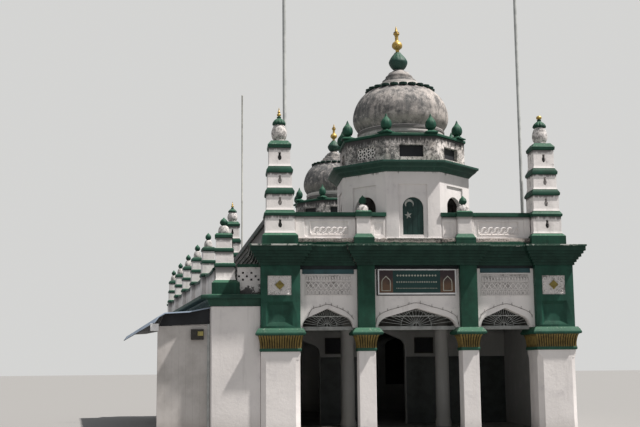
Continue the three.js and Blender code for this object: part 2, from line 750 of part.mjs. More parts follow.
const GREEN = 0x1f4a3a;
const WHITE = 0xc9c4c2;
const GREY = 0x8b8682;
const GOLD = 0xb58a2c;

function add(name, geometry, color, roughness = 0.85, metalness = 0) {
  const material = new THREE.MeshStandardMaterial({ color, roughness, metalness });
  const mesh = new THREE.Mesh(shell(geometry), material);
  mesh.name = name;
  model.add(mesh);
}

add('floor_slab', floorSlab(), 0x9a9690);
add('left_front_pier', pier(LEFT + PIER / 2, -1), GREEN);
add('right_front_pier', pier(RIGHT - PIER / 2, 1), GREEN);
add('left_column', column(-COLUMN_X), GREEN);
add('right_column', column(COLUMN_X), GREEN);
add('left_arch_wall', archWall(LEFT + PIER, -COLUMN_X - PILASTER_HALF, -SIDE_ARCH_X, SIDE_ARCH_HALF),
  WHITE);
add('centre_arch_wall', archWall(-COLUMN_X + PILASTER_HALF, COLUMN_X - PILASTER_HALF, 0, CENTRE_ARCH_HALF),
  WHITE);
add('right_arch_wall', archWall(COLUMN_X + PILASTER_HALF, RIGHT - PIER, SIDE_ARCH_X, SIDE_ARCH_HALF),
  WHITE);
add('sign_board', signBoard(), 0x2c4038);
add('main_cornice', mainCornice(), GREEN);
add('main_roof', mainRoof(), GREY);
add('left_wall', leftWall(), WHITE);
add('right_wall', rightWall(), WHITE);
add('rear_wall', rearWall(), WHITE);
add('inner_wall', innerWall(), WHITE);
add('left_porch_column', porchColumn(-1200), WHITE);
add('right_porch_column', porchColumn(1200), WHITE);
add('porch_beam', porchBeam(), WHITE);

add('front_left_tower', tower(-TOWER_X, 0, true), WHITE);
add('front_right_tower', tower(TOWER_X, 0, false), WHITE);
add('rear_left_tower', tower(REAR_LEFT_TOWER_X, REAR_TOWER_Y, true, REAR_TOWER_CROWN), WHITE);
add('rear_right_tower', tower(TOWER_X, REAR_TOWER_Y, true, REAR_TOWER_CROWN), WHITE);
add('front_left_parapet', frontParapet(-1), WHITE);
add('front_right_parapet', frontParapet(1), WHITE);
add('left_parapet', sideParapet((y) => -TOWER_X - 80 - SKEW * y), WHITE);
add('right_parapet', sideParapet(() => TOWER_X), WHITE);
add('rear_parapet', rearParapet(), WHITE);

add('main_drum', frontPiece(drumCourse(ROOF, DRUM_SPRING, DOOR_SILL)), WHITE);
add('rear_drum', rearPiece(drumCourse(ROOF, DRUM_SPRING, OPEN_SILL)), WHITE);

const DOME_PIECES = [
  ['drum_head', drumHead, WHITE, 0.85, 0], ['drum_cornice', drumCornice, GREEN, 0.7, 0],
  ['drum_parapet', drumParapet, GREY, 0.9, 0], ['drum_coping', drumCoping, GREEN, 0.7, 0],
  ['dome', dome, GREY, 0.9, 0], ['leaf_ring', leafRing, GREEN, 0.7, 0], ['crown', crown, GOLD, 0.6, 0],
];
DOME_PIECES.forEach(([name, make, color, rough, metal]) => {
  add(`main_${name}`, frontPiece(make(MAIN_LEAN)), color, rough, metal);
  add(`rear_${name}`, rearPiece(make(REAR_LEAN)), color, rough, metal);
});
add('main_drum_door', frontPiece(drumDoor()), 0x163a2e, 0.6);

add('wing_walls', wingWalls(), WHITE);
add('wing_roof', wingRoof(), GREEN);
add('corner_turret', cornerTurret(), WHITE);
add('wing_front_parapet', wingFrontParapet(), WHITE);
add('wing_side_parapet', wingSideParapet(), WHITE);
add('side_awning', sideAwning(), 0x8ea4b4, 0.5, 0.3);
add('awning_end_panel', awningEndPanel(), 0xc8beb0);
add('left_flagpole', pole(-2900, 520, 34, ROOF, 11400), 0x6d7375, 0.4, 0.6);
add('right_flagpole', pole(2735, 560, 40, ROOF, 11400), 0x7a8781, 0.4, 0.6);
add('side_mast', pole(-3745, 9000, 24, RAIL_TOP, 10050), 0xb9bcbc, 0.4, 0.5);

export default model;
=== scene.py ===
# Mosque building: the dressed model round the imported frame, in metres, Z up, Y into the building.
import math

import bmesh
import bpy
from mathutils import Matrix, Vector
from mathutils.geometry import tessellate_polygon


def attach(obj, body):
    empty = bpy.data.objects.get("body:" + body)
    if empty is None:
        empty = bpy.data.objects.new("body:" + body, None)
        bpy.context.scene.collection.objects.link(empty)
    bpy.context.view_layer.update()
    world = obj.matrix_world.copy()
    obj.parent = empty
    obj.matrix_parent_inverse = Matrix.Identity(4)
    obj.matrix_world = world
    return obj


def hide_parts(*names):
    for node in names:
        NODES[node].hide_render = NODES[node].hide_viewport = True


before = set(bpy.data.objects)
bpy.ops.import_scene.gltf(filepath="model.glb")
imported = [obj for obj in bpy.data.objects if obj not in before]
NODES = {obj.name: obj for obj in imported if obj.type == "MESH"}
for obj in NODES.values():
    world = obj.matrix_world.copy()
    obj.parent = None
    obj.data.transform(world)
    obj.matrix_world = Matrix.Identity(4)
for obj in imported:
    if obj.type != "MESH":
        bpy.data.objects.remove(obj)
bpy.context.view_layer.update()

# Heights and plan, the same values as the solids
FLOOR = 0.15
SPRING = 2.488
WALL_TOP = 3.865
ROOF = 4.31
RAIL_BOTTOM = 4.99
RAIL_TOP = 5.125
FRONT_COPING = 5.01
LEFT = -3.49
RIGHT = 3.54
PIER = 0.87
PIER_FRONT = -0.5
PIER_BACK = 0.37
BAY_FRONT = -0.33
BACK = 13.8
WALL = 0.3
SKEW = 0.0672
COLUMN_X = 1.152
TOWER_X = 3.05
REAR_TOWER = (-4.0105, 13.4)
DRUM_Y = 1.384
DRUM_APOTHEM = 1.509
DRUM_TOP = 6.05
UPPER_APOTHEM = 1.43
REAR_DOME = (-0.63, 11.3)
REAR_SCALE = 0.87
WING_LEFT = -4.56
WING_FRONT = -0.37
WING_SKEW = 0.139
WING_WALL_TOP = 2.975
WING_EAVE = 3.22
WING_TOP = 3.245
MAIN_LEAN = 0.04
PORCH_Y = 2.95
REAR_LEAN = -0.02
EIGHTH = math.pi / 4


# Arithmetic on node sockets
class Wire:
    def __init__(self, graph, socket):
        self.graph = graph
        self.socket = socket

    def math(self, operation, other=0.0, swap=False):
        pair = (other, self) if swap else (self, other)
        return self.graph.node("ShaderNodeMath", {"operation": operation}, {0: pair[0], 1: pair[1]})

    def __add__(self, other):
        return self.math("ADD", other)

    def __sub__(self, other):
        return self.math("SUBTRACT", other)

    def __rsub__(self, other):
        return self.math("SUBTRACT", other, swap=True)

    def __mul__(self, other):
        return self.math("MULTIPLY", other)

    def __truediv__(self, other):
        return self.math("DIVIDE", other)

    __radd__ = __add__
    __rmul__ = __mul__

    def __gt__(self, other):
        return self.math("GREATER_THAN", other)

    def __lt__(self, other):
        return self.math("LESS_THAN", other)


class Graph:
    def __init__(self, tree):
        self.tree = tree

    def node(self, kind, settings=None, values=None, out=0):
        made = self.tree.nodes.new(kind)
        for key, value in (settings or {}).items():
            if key == "stops":
                self.stops(made.color_ramp, value)
            else:
                setattr(made, key, value)
        for key, value in (values or {}).items():
            self.feed(made.inputs[key], value)
        return Wire(self, made.outputs[out]) if len(made.outputs) else made

    def stops(self, ramp, stops):
        while len(ramp.elements) < len(stops):
            ramp.elements.new(1.0)
        for element, (position, color) in zip(ramp.elements, stops):
            element.position = position
            element.color = (*color, 1.0)

    def feed(self, socket, value):
        if isinstance(value, Wire):
            self.tree.links.new(value.socket, socket)
        elif isinstance(value, tuple) and socket.type == "RGBA":
            socket.default_value = (*value, 1.0)
        else:
            socket.default_value = value


# Patterns that the finishes share
class Paint(Graph):
    def __init__(self, tree):
        super().__init__(tree)
        self.spot = self.node("ShaderNodeTexCoord", out="Object")
        self.x, self.y, self.z = self.split(self.spot)
        normal = self.node("ShaderNodeNewGeometry", out="Normal")
        self.nx, self.ny, self.up = self.split(normal)

    def split(self, vector):
        made = self.tree.nodes.new("ShaderNodeSeparateXYZ")
        self.tree.links.new(vector.socket, made.inputs[0])
        return [Wire(self, made.outputs[i]) for i in range(3)]

    def stretched(self, x, y, z):
        values = {0: self.spot, 1: (x, y, z)}
        return self.node("ShaderNodeVectorMath", {"operation": "MULTIPLY"}, values)

    def noise(self, scale, detail=4.0, rough=0.55, stretch=None, shift=0.0):
        vector = self.stretched(*stretch) if stretch else self.spot
        if shift:
            values = {0: vector, 1: (shift, shift * 0.7, shift * 1.3)}
            vector = self.node("ShaderNodeVectorMath", {"operation": "ADD"}, values)
        values = {"Vector": vector, "Scale": scale, "Detail": detail, "Roughness": rough}
        return self.node("ShaderNodeTexNoise", {}, values)

    def cells(self, scale, feature="F1", stretch=None):
        vector = self.stretched(*stretch) if stretch else self.spot
        return self.node("ShaderNodeTexVoronoi", {"feature": feature}, {"Vector": vector, "Scale": scale})

    def ramp(self, value, low, high):
        values = {"Value": value, "From Min": low, "From Max": high}
        return self.node("ShaderNodeMapRange", {"interpolation_type": "SMOOTHSTEP"}, values)

    def mix(self, factor, a, b, kind="MIX"):
        settings = {"data_type": "RGBA", "blend_type": kind}
        return self.node("ShaderNodeMix", settings, {0: factor, 6: a, 7: b}, out=2)

    def drips(self, top, length, reach=0.5, shift=0.0):
        # Dark rain streaks that fade out below a ledge
        fade = self.ramp(self.z, top - length, top) * (self.z < top + 0.004)
        streak = self.noise(1.0, 3.0, 0.6, (16.0, 16.0, 0.9), shift + 3.1)
        broad = self.noise(1.0, 2.0, 0.5, (3.0, 3.0, 0.4), shift + 7.7)
        return self.ramp(streak * 0.7 + broad * 0.3 + fade * 0.42, 1.02 - reach, 1.2 - reach) * fade


def finish(name, recipe, *details):
    material = bpy.data.materials.new(name)
    material.use_nodes = True
    tree = material.node_tree
    tree.nodes.clear()
    paint = Paint(tree)
    look = recipe(paint, *details)
    values = {
        "Base Color": look["color"],
        "Roughness": look.get("rough", 0.8),
        "Metallic": look.get("metal", 0.0),
        "Specular IOR Level": look.get("shine", 0.35),
    }
    if "height" in look:
        bump = {"Strength": 1.0, "Distance": look.get("relief", 0.004), "Height": look["height"]}
        values["Normal"] = paint.node("ShaderNodeBump", {}, bump)
    shader = paint.node("ShaderNodeBsdfPrincipled", {}, values)
    output = tree.nodes.new("ShaderNodeOutputMaterial")
    tree.links.new(shader.socket, output.inputs["Surface"])
    return material


# Limewash on uneven plaster, with rain streaks under each ledge and dirt near the foot
def limewash(p, ledges=(), stain=0.35, tone=(0.80, 0.765, 0.75), foot=None):
    broad = p.noise(0.55, 5.0, 0.6)
    patch = p.noise(2.6, 6.0, 0.62, shift=1.7)
    speck = p.noise(14.0, 5.0, 0.65, shift=4.2)
    fine = p.noise(70.0, 4.0, 0.6)
    color = p.mix(p.ramp(broad, 0.35, 0.7), tone, tuple(c * 0.9 for c in tone))
    color = p.mix(p.ramp(patch, 0.5, 0.72) * 0.5, color, (0.60, 0.57, 0.575))
    flaked = p.ramp(speck * 0.55 + patch * 0.45, 0.60, 0.66) * stain
    color = p.mix(flaked, color, (0.30, 0.285, 0.28))
    rain = p.noise(1.0, 4.0, 0.6, (7.0, 7.0, 0.6), 9.0)
    color = p.mix(p.ramp(rain, 0.52, 0.72) * (stain * 0.9), color, (0.42, 0.40, 0.39))
    for index, (top, length, reach) in enumerate(ledges):
        soot = p.drips(top, length, reach, index * 1.9)
        color = p.mix(soot * 0.86, color, (0.075, 0.072, 0.072))
    if foot:
        low, high = foot
        damp = p.ramp(p.z + patch * 0.25, high, low)
        color = p.mix(damp * 0.55, color, (0.33, 0.31, 0.28))
    height = patch * 0.5 + speck * 0.35 + fine * 0.15 - flaked * 0.25
    return {"color": color, "rough": 0.86 + speck * 0.1, "height": height, "relief": 0.012, "shine": 0.2}


# Porch walls: damp at the foot, painted dark towards the ceiling as painted shade under the porch roof
def limewash_with_painted_shade(p, tone):
    look = limewash(p, (), 0.3, tone, (0.15, 1.4))
    patch = p.noise(1.4, 5.0, 0.6, shift=6.0)
    # Upper wall painted dark towards the ceiling: painted shade under the porch roof
    painted_ceiling_shade = p.ramp(p.z + (patch - 0.5) * 0.3, 2.48, 2.72)
    look["color"] = p.mix(painted_ceiling_shade * 0.88, look["color"], (0.075, 0.076, 0.07))
    return look


# Little domes: limewash with dark stains that run down from the cap
def stained_limewash(p, tone, spots=0.75):
    look = limewash(p, (), 0.8, tone)
    blot = p.noise(15.0, 6.0, 0.68, shift=1.3)
    speck = p.noise(48.0, 4.0, 0.7, shift=8.0)
    color = p.mix(p.ramp(blot, 0.47, 0.56) * spots, look["color"], (0.22, 0.21, 0.205))
    look["color"] = p.mix(p.ramp(speck * 0.6 + blot * 0.4, 0.54, 0.60) * spots, color, (0.07, 0.07, 0.07))
    return look


# Green gloss paint with chalky worn patches; upward faces painted paler as a painted sky reflection on sun-faded
# paint, downward faces painted darker as painted shade
def green_paint(p, fade=0.7, worn=0.42, tone=(0.0095, 0.058, 0.036), sheen=0.25):
    patch = p.noise(3.2, 5.0, 0.6)
    speck = p.noise(26.0, 5.0, 0.65, shift=2.0)
    fine = p.noise(120.0, 3.0, 0.6)
    color = p.mix(p.ramp(patch, 0.35, 0.68), tone, tuple(c * 0.66 for c in tone))
    streak = p.noise(1.0, 4.0, 0.6, (12.0, 12.0, 1.0), 5.0)
    color = p.mix(p.ramp(streak, 0.5, 0.75) * 0.35, color, tuple(c * 1.7 for c in tone))
    # Upward faces painted paler: painted sky reflection, with some sun-faded paint
    top = p.ramp(p.up + (speck - 0.5) * 0.5, 0.25, 0.75) * fade
    color = p.mix(top, color, (0.045, 0.135, 0.082))
    chalk = p.ramp(p.up, 0.35, 0.8) * p.ramp(speck * 0.6 + patch * 0.4, 0.53, 0.62) * worn
    color = p.mix(chalk, color, (0.34, 0.37, 0.33))
    # Downward faces painted darker: painted shade
    under = p.ramp(p.up, -0.3, -0.9) * 0.5
    color = p.mix(under, color, tuple(c * 0.5 for c in tone))
    height = patch * 0.4 + speck * 0.4 + fine * 0.2
    rough = 0.42 + patch * 0.25 + top * 0.2
    return {"color": color, "rough": rough, "height": height, "relief": 0.006, "shine": sheen}


# Green cornice paint with a worn upper edge; near black on the return along the side street and on faces turned from
# the sun, partly sooty flaked paint and partly painted shade
def cornice_paint(p):
    look = green_paint(p, 0.25, 0.06, (0.0118, 0.043, 0.031), 0.2)
    edge = p.ramp(p.z, 4.268, 4.284)
    chip = p.noise(18.0, 4.0, 0.7, shift=6.0)
    color = p.mix(edge * p.ramp(chip, 0.40, 0.62) * 0.55, look["color"], (0.12, 0.19, 0.145))
    bare = p.noise(1.0, 3.0, 0.6, (2.1, 2.1, 6.0), 1.2)
    worn = p.ramp(bare * 0.7 + chip * 0.3 - p.ramp(p.x, -3.4, 0.5) * 0.07, 0.485, 0.53) * edge
    color = p.mix(worn * 0.8, color, (0.52, 0.52, 0.49))
    flake = p.noise(3.4, 6.0, 0.66, (1.0, 1.0, 0.45), 3.0)
    run = p.noise(1.0, 5.0, 0.68, (5.0, 0.9, 5.5), 4.0)
    soot = p.mix(p.ramp(flake * 0.25 + run * 0.75, 0.50, 0.57), (0.013, 0.014, 0.013), (0.115, 0.118, 0.105))
    soot = p.mix(p.ramp(chip, 0.52, 0.66) * 0.6, soot, (0.030, 0.052, 0.038))
    soot = p.mix(p.ramp(run, 0.47, 0.42), soot, (0.008, 0.009, 0.008))
    # Return and left-facing faces painted near black: sooty flaked paint and painted shade
    side = (p.ramp(p.nx, -0.25, -0.5) * (p.x < 0.0)).math("MAXIMUM", p.ramp(p.x + (flake - 0.5) * 0.3, -3.84, -3.92))
    look["color"] = p.mix(side, color, soot)
    look["height"] = look["height"] + side * flake * 3.0
    return look


# Drum cornice: faint drawn lines round the slope, chips along the edge
def drum_cornice_paint(p):
    look = green_paint(p, 0.5, 0.3, (0.023, 0.074, 0.056), 0.25)
    chip = p.noise(15.0, 4.0, 0.7, shift=3.0)
    line = ((p.z + (chip - 0.5) * 0.006) / 0.083).math("FRACT")
    groove = p.ramp(line, 0.34, 0.1) * p.ramp(line, 0.0, 0.1) * p.ramp(p.up, 0.3, 0.0)
    color = p.mix(groove * 0.55, look["color"], (0.052, 0.105, 0.085))
    look["color"] = p.mix(p.ramp(chip, 0.60, 0.68) * 0.5, color, (0.06, 0.15, 0.10))
    return look


# Coping along the side street: the paint has gone black and bare in places
def sooty_coping(p):
    look = green_paint(p, 0.25, 0.1)
    flake = p.noise(5.0, 6.0, 0.68, shift=3.0)
    speck = p.noise(24.0, 4.0, 0.7)
    bare = p.ramp(flake * 0.7 + speck * 0.3, 0.43, 0.50)
    color = p.mix(bare, look["color"], (0.035, 0.036, 0.035))
    look["color"] = p.mix(p.ramp(flake * 0.5 + speck * 0.5, 0.54, 0.60), color, (0.17, 0.165, 0.155))
    return look


# Foot of the front parapet: white ledge, bare stained cement below it, then ragged green paint
def parapet_foot(p):
    look = limewash(p, ((FRONT_COPING, 0.11, 0.6),), 0.35)
    patch = p.noise(5.5, 5.0, 0.65, shift=2.0)
    speck = p.noise(32.0, 5.0, 0.66, shift=5.0)
    level = p.z + (patch - 0.5) * 0.12 + (speck - 0.5) * 0.09
    stain = p.mix(p.ramp(speck * 0.6 + patch * 0.4, 0.42, 0.60), (0.42, 0.375, 0.345), (0.085, 0.078, 0.072))
    color = p.mix(p.ramp(level, 4.512, 4.498), look["color"], stain)
    look["color"] = p.mix(p.ramp(level, 4.428, 4.404), color, (0.0135, 0.060, 0.039))
    return look


# Pierced parapet: black mould where water stands on the wing's roof
def mouldy_foot(p):
    look = limewash(p, (), 0.4, (0.80, 0.765, 0.75), (3.24, 3.56))
    patch = p.noise(6.5, 5.0, 0.66, shift=2.6)
    speck = p.noise(30.0, 4.0, 0.66)
    mould = p.ramp(patch * 0.7 + speck * 0.3 + p.ramp(p.z, 3.56, 3.24) * 0.16, 0.60, 0.65) * p.ramp(p.z, 3.52, 3.46)
    look["color"] = p.mix(mould * 0.9, look["color"], (0.035, 0.036, 0.036))
    return look


# Floor of the carved fields: a tone darker than the raised forms as painted shade in the recess, with grime patches
# in a few places and rust along the top
def grimy_ground(p, top, tone=(0.62, 0.595, 0.585)):
    patch = p.noise(4.2, 5.0, 0.62, shift=3.0)
    speck = p.noise(30.0, 4.0, 0.68, shift=1.0)
    color = p.mix(p.ramp(patch * 0.45 + speck * 0.55, 0.50, 0.60) * 0.8, tone, (0.16, 0.15, 0.14))
    rust = p.ramp(p.z, top - 0.15, top) * p.ramp(speck, 0.34, 0.6)
    color = p.mix(rust * 0.7, color, (0.20, 0.165, 0.09))
    return {"color": color, "rough": 0.9, "height": speck, "relief": 0.004, "shine": 0.15}


# Bare cement on the domes, with runs and pits; painted darker on the left and pale tan on the right, partly black
# algae and partly painted shade and painted sunlight from the right
def dome_cement(p, centre, reach, zones=()):
    cx, low, high = centre
    side = (p.x - cx) / reach
    broad = p.noise(1.1, 6.0, 0.65)
    patch = p.noise(4.5, 7.0, 0.68, shift=2.4)
    speck = p.noise(22.0, 6.0, 0.7, shift=5.0)
    fine = p.noise(90.0, 4.0, 0.65)
    runs = p.noise(1.0, 5.0, 0.62, (7.0, 7.0, 0.8), 1.0)
    # Left side painted darker, right side paler: black algae, and painted shade and painted sunlight
    dark = 0.5 - side * 0.34 + (broad - 0.5) * 1.4 + (runs - 0.5) * 1.7
    pits = p.noise(46.0, 5.0, 0.72, shift=3.3)
    blot = p.noise(8.5, 6.0, 0.7, shift=6.1)
    color = p.mix(p.ramp(dark, 0.1, 0.95), (0.50, 0.455, 0.425), (0.145, 0.148, 0.15))
    color = p.mix(p.ramp(blot, 0.46, 0.38) * 0.6, color, (0.56, 0.52, 0.49))
    color = p.mix(p.ramp(blot * 0.6 + runs * 0.4, 0.51, 0.57) * 0.6, color, (0.08, 0.08, 0.08))
    color = p.mix(p.ramp(patch * 0.6 + speck * 0.4, 0.50, 0.60) * 0.6, color, (0.105, 0.105, 0.105))
    color = p.mix(p.ramp(speck * 0.65 + pits * 0.35, 0.53, 0.60) * 0.6, color, (0.60, 0.565, 0.535))
    color = p.mix(p.ramp(pits * 0.6 + speck * 0.4, 0.53, 0.59) * 0.65, color, (0.05, 0.05, 0.05))
    for z, width, shade, amount in zones:
        band = p.ramp(p.z, z - width, z) * p.ramp(p.z, z + width, z)
        ragged = band * p.ramp(broad + patch * 0.5, 0.55, 0.85)
        color = p.mix(ragged * amount, color, shade)
    height = patch * 0.3 + speck * 0.3 + pits * 0.25 + fine * 0.15
    return {"color": color, "rough": 0.92, "height": height, "relief": 0.02, "shine": 0.15}


# Gold enamel on the spires, painted darker on downward faces as painted shade
def gold_enamel(p):
    patch = p.noise(24.0, 4.0, 0.6)
    color = p.mix(p.ramp(patch, 0.4, 0.7), (0.60, 0.42, 0.12), (0.30, 0.19, 0.045))
    # Downward faces painted darker: painted shade
    color = p.mix(p.ramp(p.up, 0.2, -0.6) * 0.4, color, (0.16, 0.10, 0.02))
    return {"color": color, "rough": 0.32 + patch * 0.25, "metal": 0.5, "height": patch, "relief": 0.002,
            "shine": 0.5}


# Dull ochre on the fluted neckings
def ochre(p, tone=(0.235, 0.165, 0.045)):
    patch = p.noise(9.0, 5.0, 0.62)
    speck = p.noise(45.0, 4.0, 0.6)
    color = p.mix(p.ramp(patch, 0.35, 0.7), tone, tuple(c * 0.5 for c in tone))
    low = p.ramp(p.z, 2.30, 2.06)
    color = p.mix(low * 0.35, color, tuple(c * 0.4 for c in tone))
    return {"color": color, "rough": 0.55 + speck * 0.2, "metal": 0.1, "height": speck, "relief": 0.003}


def even(p, tone, dark, rough=0.6, scale=8.0, metal=0.0, relief=0.002):
    patch = p.noise(scale, 5.0, 0.6)
    speck = p.noise(scale * 9.0, 4.0, 0.6)
    color = p.mix(p.ramp(patch, 0.35, 0.7), tone, dark)
    color = p.mix(p.ramp(speck, 0.58, 0.7) * 0.35, color, tuple(c * 0.6 for c in dark))
    return {"color": color, "rough": rough + speck * 0.15, "metal": metal, "height": speck * 0.5 + patch * 0.5,
            "relief": relief}


# Side panels of the board: brown below, nearly purple black above
def side_panel_paint(p):
    patch = p.noise(9.0, 5.0, 0.62)
    color = p.mix(p.ramp(p.z + (patch - 0.5) * 0.3, 3.36, 3.66), (0.13, 0.075, 0.045), (0.035, 0.022, 0.026))
    color = p.mix(p.ramp(patch, 0.5, 0.7) * 0.5, color, (0.055, 0.035, 0.025))
    return {"color": color, "rough": 0.45, "height": patch, "relief": 0.002}


# Trowelled concrete with joints of pours, stains and grit
def concrete(p, tone, dark):
    broad = p.noise(0.4, 5.0, 0.6)
    patch = p.noise(1.8, 6.0, 0.65, shift=2.0)
    grit = p.noise(60.0, 4.0, 0.7)
    color = p.mix(p.ramp(broad, 0.35, 0.65), tone, dark)
    color = p.mix(p.ramp(patch, 0.5, 0.7) * 0.6, color, tuple(c * 0.55 for c in dark))
    color = p.mix(p.ramp(grit, 0.55, 0.7) * 0.3, color, tuple(c * 1.25 for c in tone))
    return {"color": color, "rough": 0.9, "height": grit * 0.6 + patch * 0.4, "relief": 0.006, "shine": 0.2}


# Painted sheet, blue and faded above; downward faces painted near black as painted shade
def awning_sheet(p):
    patch = p.noise(1.6, 5.0, 0.6, (1.0, 0.3, 1.0))
    color = p.mix(p.ramp(patch, 0.35, 0.7), (0.36, 0.44, 0.55), (0.22, 0.28, 0.36))
    # Downward faces painted near black: painted shade
    color = p.mix(p.ramp(p.up, 0.05, -0.2), color, (0.022, 0.025, 0.03))
    return {"color": color, "rough": 0.5 + patch * 0.2, "height": patch, "relief": 0.01}


# Boards painted cream, with open joints
def painted_boards(p):
    width = 0.155
    cell = (p.x / width).math("FRACT")
    gap = 1.0 - p.ramp(cell, 0.0, 0.03) * p.ramp(cell, 1.0, 0.97)
    grain = p.noise(1.0, 4.0, 0.6, (60.0, 60.0, 2.0))
    patch = p.noise(2.2, 5.0, 0.6)
    color = p.mix(p.ramp(patch, 0.35, 0.7), (0.55, 0.52, 0.50), (0.44, 0.415, 0.395))
    color = p.mix(p.ramp(grain, 0.5, 0.7) * 0.2, color, (0.46, 0.43, 0.40))
    low = p.ramp(p.z, 0.7, 0.1)
    color = p.mix(low * 0.5, color, (0.25, 0.22, 0.20))
    color = p.mix(gap * 0.13, color, (0.20, 0.185, 0.17))
    return {"color": color, "rough": 0.75, "height": grain * 0.3 - gap, "relief": 0.002}


# Flaked render of the drum parapet with streaks below the coping; blackest on the left and brighter on the right,
# partly painted shade and painted sunlight
def parapet_render(p, centre, top):
    look = dome_cement(p, (centre, 0.0, 0.0), 1.5)
    patch = p.noise(3.4, 6.0, 0.66, shift=8.0)
    speck = p.noise(30.0, 5.0, 0.7, shift=9.0)
    bright = p.ramp(patch * 0.6 + speck * 0.4, 0.46, 0.56)
    # Pale flakes painted brighter towards the right: painted sunlight
    painted_sun_side = p.ramp((p.x - centre) / 1.5, -0.9, 0.6)
    base = p.mix(bright * (0.8 + painted_sun_side * 0.2), look["color"], (0.74, 0.69, 0.665))
    spot = p.noise(13.0, 5.0, 0.7, shift=6.5)
    base = p.mix(p.ramp(spot * 0.7 + speck * 0.3, 0.505, 0.565) * 0.8, base, (0.07, 0.07, 0.07))
    streak = p.noise(1.0, 3.0, 0.6, (19.0, 19.0, 0.7), 5.5)
    runs = p.ramp(streak + p.ramp(p.z, top - 0.24, top) * 0.28, 0.62, 0.70) * p.ramp(p.z, top - 0.30, top - 0.10)
    base = p.mix(runs * 0.85, base, (0.05, 0.05, 0.05))
    soot = p.drips(top, 0.12, 0.60, 4.0)
    look["color"] = p.mix(soot * 0.9, base, (0.055, 0.054, 0.055))
    return look


GREEN = finish("green_gloss_paint", green_paint)
CAPITAL_GREEN = finish("capital_green_paint", green_paint, 0.95, 0.95, (0.021, 0.088, 0.058))
PIER_GREEN = finish("pier_green_paint", green_paint, 0.75, 0.5, (0.0135, 0.070, 0.047))
CORNICE = finish("cornice_green_paint", cornice_paint)
TOWER_LEDGES = ((4.99, 0.16, 0.30), (5.484, 0.12, 0.30), (5.975, 0.12, 0.30), (6.554, 0.14, 0.36))
PLASTER = finish("wall_limewash", limewash, ((WALL_TOP, 0.35, 0.2),), 0.3)
PIER_PLASTER = finish("pier_limewash", limewash, (), 0.22, (0.80, 0.765, 0.75), (0.1, 0.7))
TOWER_PLASTER = finish("tower_limewash", limewash, TOWER_LEDGES, 0.6)
PARAPET_PLASTER = finish("parapet_limewash", limewash, ((FRONT_COPING, 0.11, 0.6),), 0.32)
SIDE_LEDGES = ((RAIL_BOTTOM, 0.72, 0.86), (WALL_TOP, 1.6, 0.72))
SIDE_PLASTER = finish("side_wall_limewash", limewash, SIDE_LEDGES, 0.5)
STREET_PLASTER = finish("street_parapet_limewash", limewash, SIDE_LEDGES, 1.0, (0.74, 0.71, 0.70))
DRUM_PLASTER = finish("drum_limewash", limewash, ((6.06, 0.2, 0.12),), 0.16, (0.735, 0.705, 0.695))
WING_PLASTER = finish("wing_limewash", limewash, (), 0.3, (0.78, 0.745, 0.73), (0.1, 0.9))
PIERCED_PLASTER = finish("pierced_parapet_limewash", mouldy_foot)
TURRET_PLASTER = finish("turret_limewash", limewash, ((3.86, 0.3, 0.5), (4.19, 0.12, 0.4), (4.50, 0.12, 0.4)), 0.55)
INNER_PLASTER = finish("porch_limewash", limewash_with_painted_shade, (0.60, 0.60, 0.58))
# Hall walls a darker copy of the limewash: painted shade inside the hall
HALL_PAINTED_SHADE_PLASTER = finish("hall_limewash", limewash_with_painted_shade, (0.46, 0.465, 0.45))
MAIN_CEMENT = finish("main_dome_cement", dome_cement, (0.0, 7.0, 8.9), 1.16,
                     ((7.74, 0.17, (0.08, 0.08, 0.08), 0.5), (7.42, 0.14, (0.44, 0.41, 0.37), 0.55),
                      (8.26, 0.1, (0.16, 0.15, 0.15), 0.5)))
REAR_CEMENT = finish("rear_dome_cement", dome_cement, (-0.2, 7.0, 8.9), 1.0,
                     ((7.55, 0.2, (0.3, 0.28, 0.26), 0.6),))
TOWER_CEMENT = finish("tower_dome_cement", stained_limewash, (0.66, 0.63, 0.61))
DOME_BASE = finish("dome_base_plaster", limewash, ((7.27, 0.2, 0.5),), 0.7, (0.66, 0.63, 0.61))
MAIN_RENDER = finish("main_parapet_render", parapet_render, 0.0, 6.905)
REAR_RENDER = finish("rear_parapet_render", parapet_render, -0.2, 7.006)
GOLD = finish("gold_enamel", gold_enamel)
OCHRE = finish("necking_ochre", ochre)
# Near-black copy of the ochre for the reed grooves: painted shade
OCHRE_PAINTED_SHADE = finish("necking_hollow_ochre", ochre, (0.035, 0.030, 0.014))
DIAMOND = finish("diamond_ochre", even, (0.26, 0.21, 0.05), (0.15, 0.11, 0.03), 0.5, 14.0, 0.1)
TEAL = finish("teal_strip_paint", even, (0.030, 0.085, 0.095), (0.018, 0.05, 0.058), 0.5, 3.0)
DOOR = finish("drum_door_paint", even, (0.012, 0.042, 0.036), (0.008, 0.028, 0.025), 0.35, 6.0)
EMBLEM = finish("emblem_white_paint", even, (0.42, 0.43, 0.40), (0.30, 0.32, 0.30), 0.6, 10.0)
IRON = finish("grille_grey_paint", even, (0.50, 0.52, 0.51), (0.30, 0.31, 0.30), 0.5, 20.0)
BAR = finish("transom_grey_paint", even, (0.32, 0.33, 0.32), (0.19, 0.195, 0.19), 0.5, 6.0)
WIRE_RUST = finish("lamp_wire_rust", even, (0.15, 0.13, 0.12), (0.08, 0.07, 0.065), 0.7, 30.0, 0.3)
FRAME_PAINT = finish("board_frame_paint", even, (0.86, 0.86, 0.87), (0.70, 0.70, 0.71), 0.45, 5.0)
FIELD = finish("board_field_paint", even, (0.010, 0.048, 0.044), (0.008, 0.038, 0.036), 0.35, 2.2)
FIELD_SIDE = finish("board_side_paint", side_panel_paint)
SILVER = finish("board_rule_paint", even, (0.50, 0.50, 0.43), (0.34, 0.34, 0.29), 0.4, 12.0)
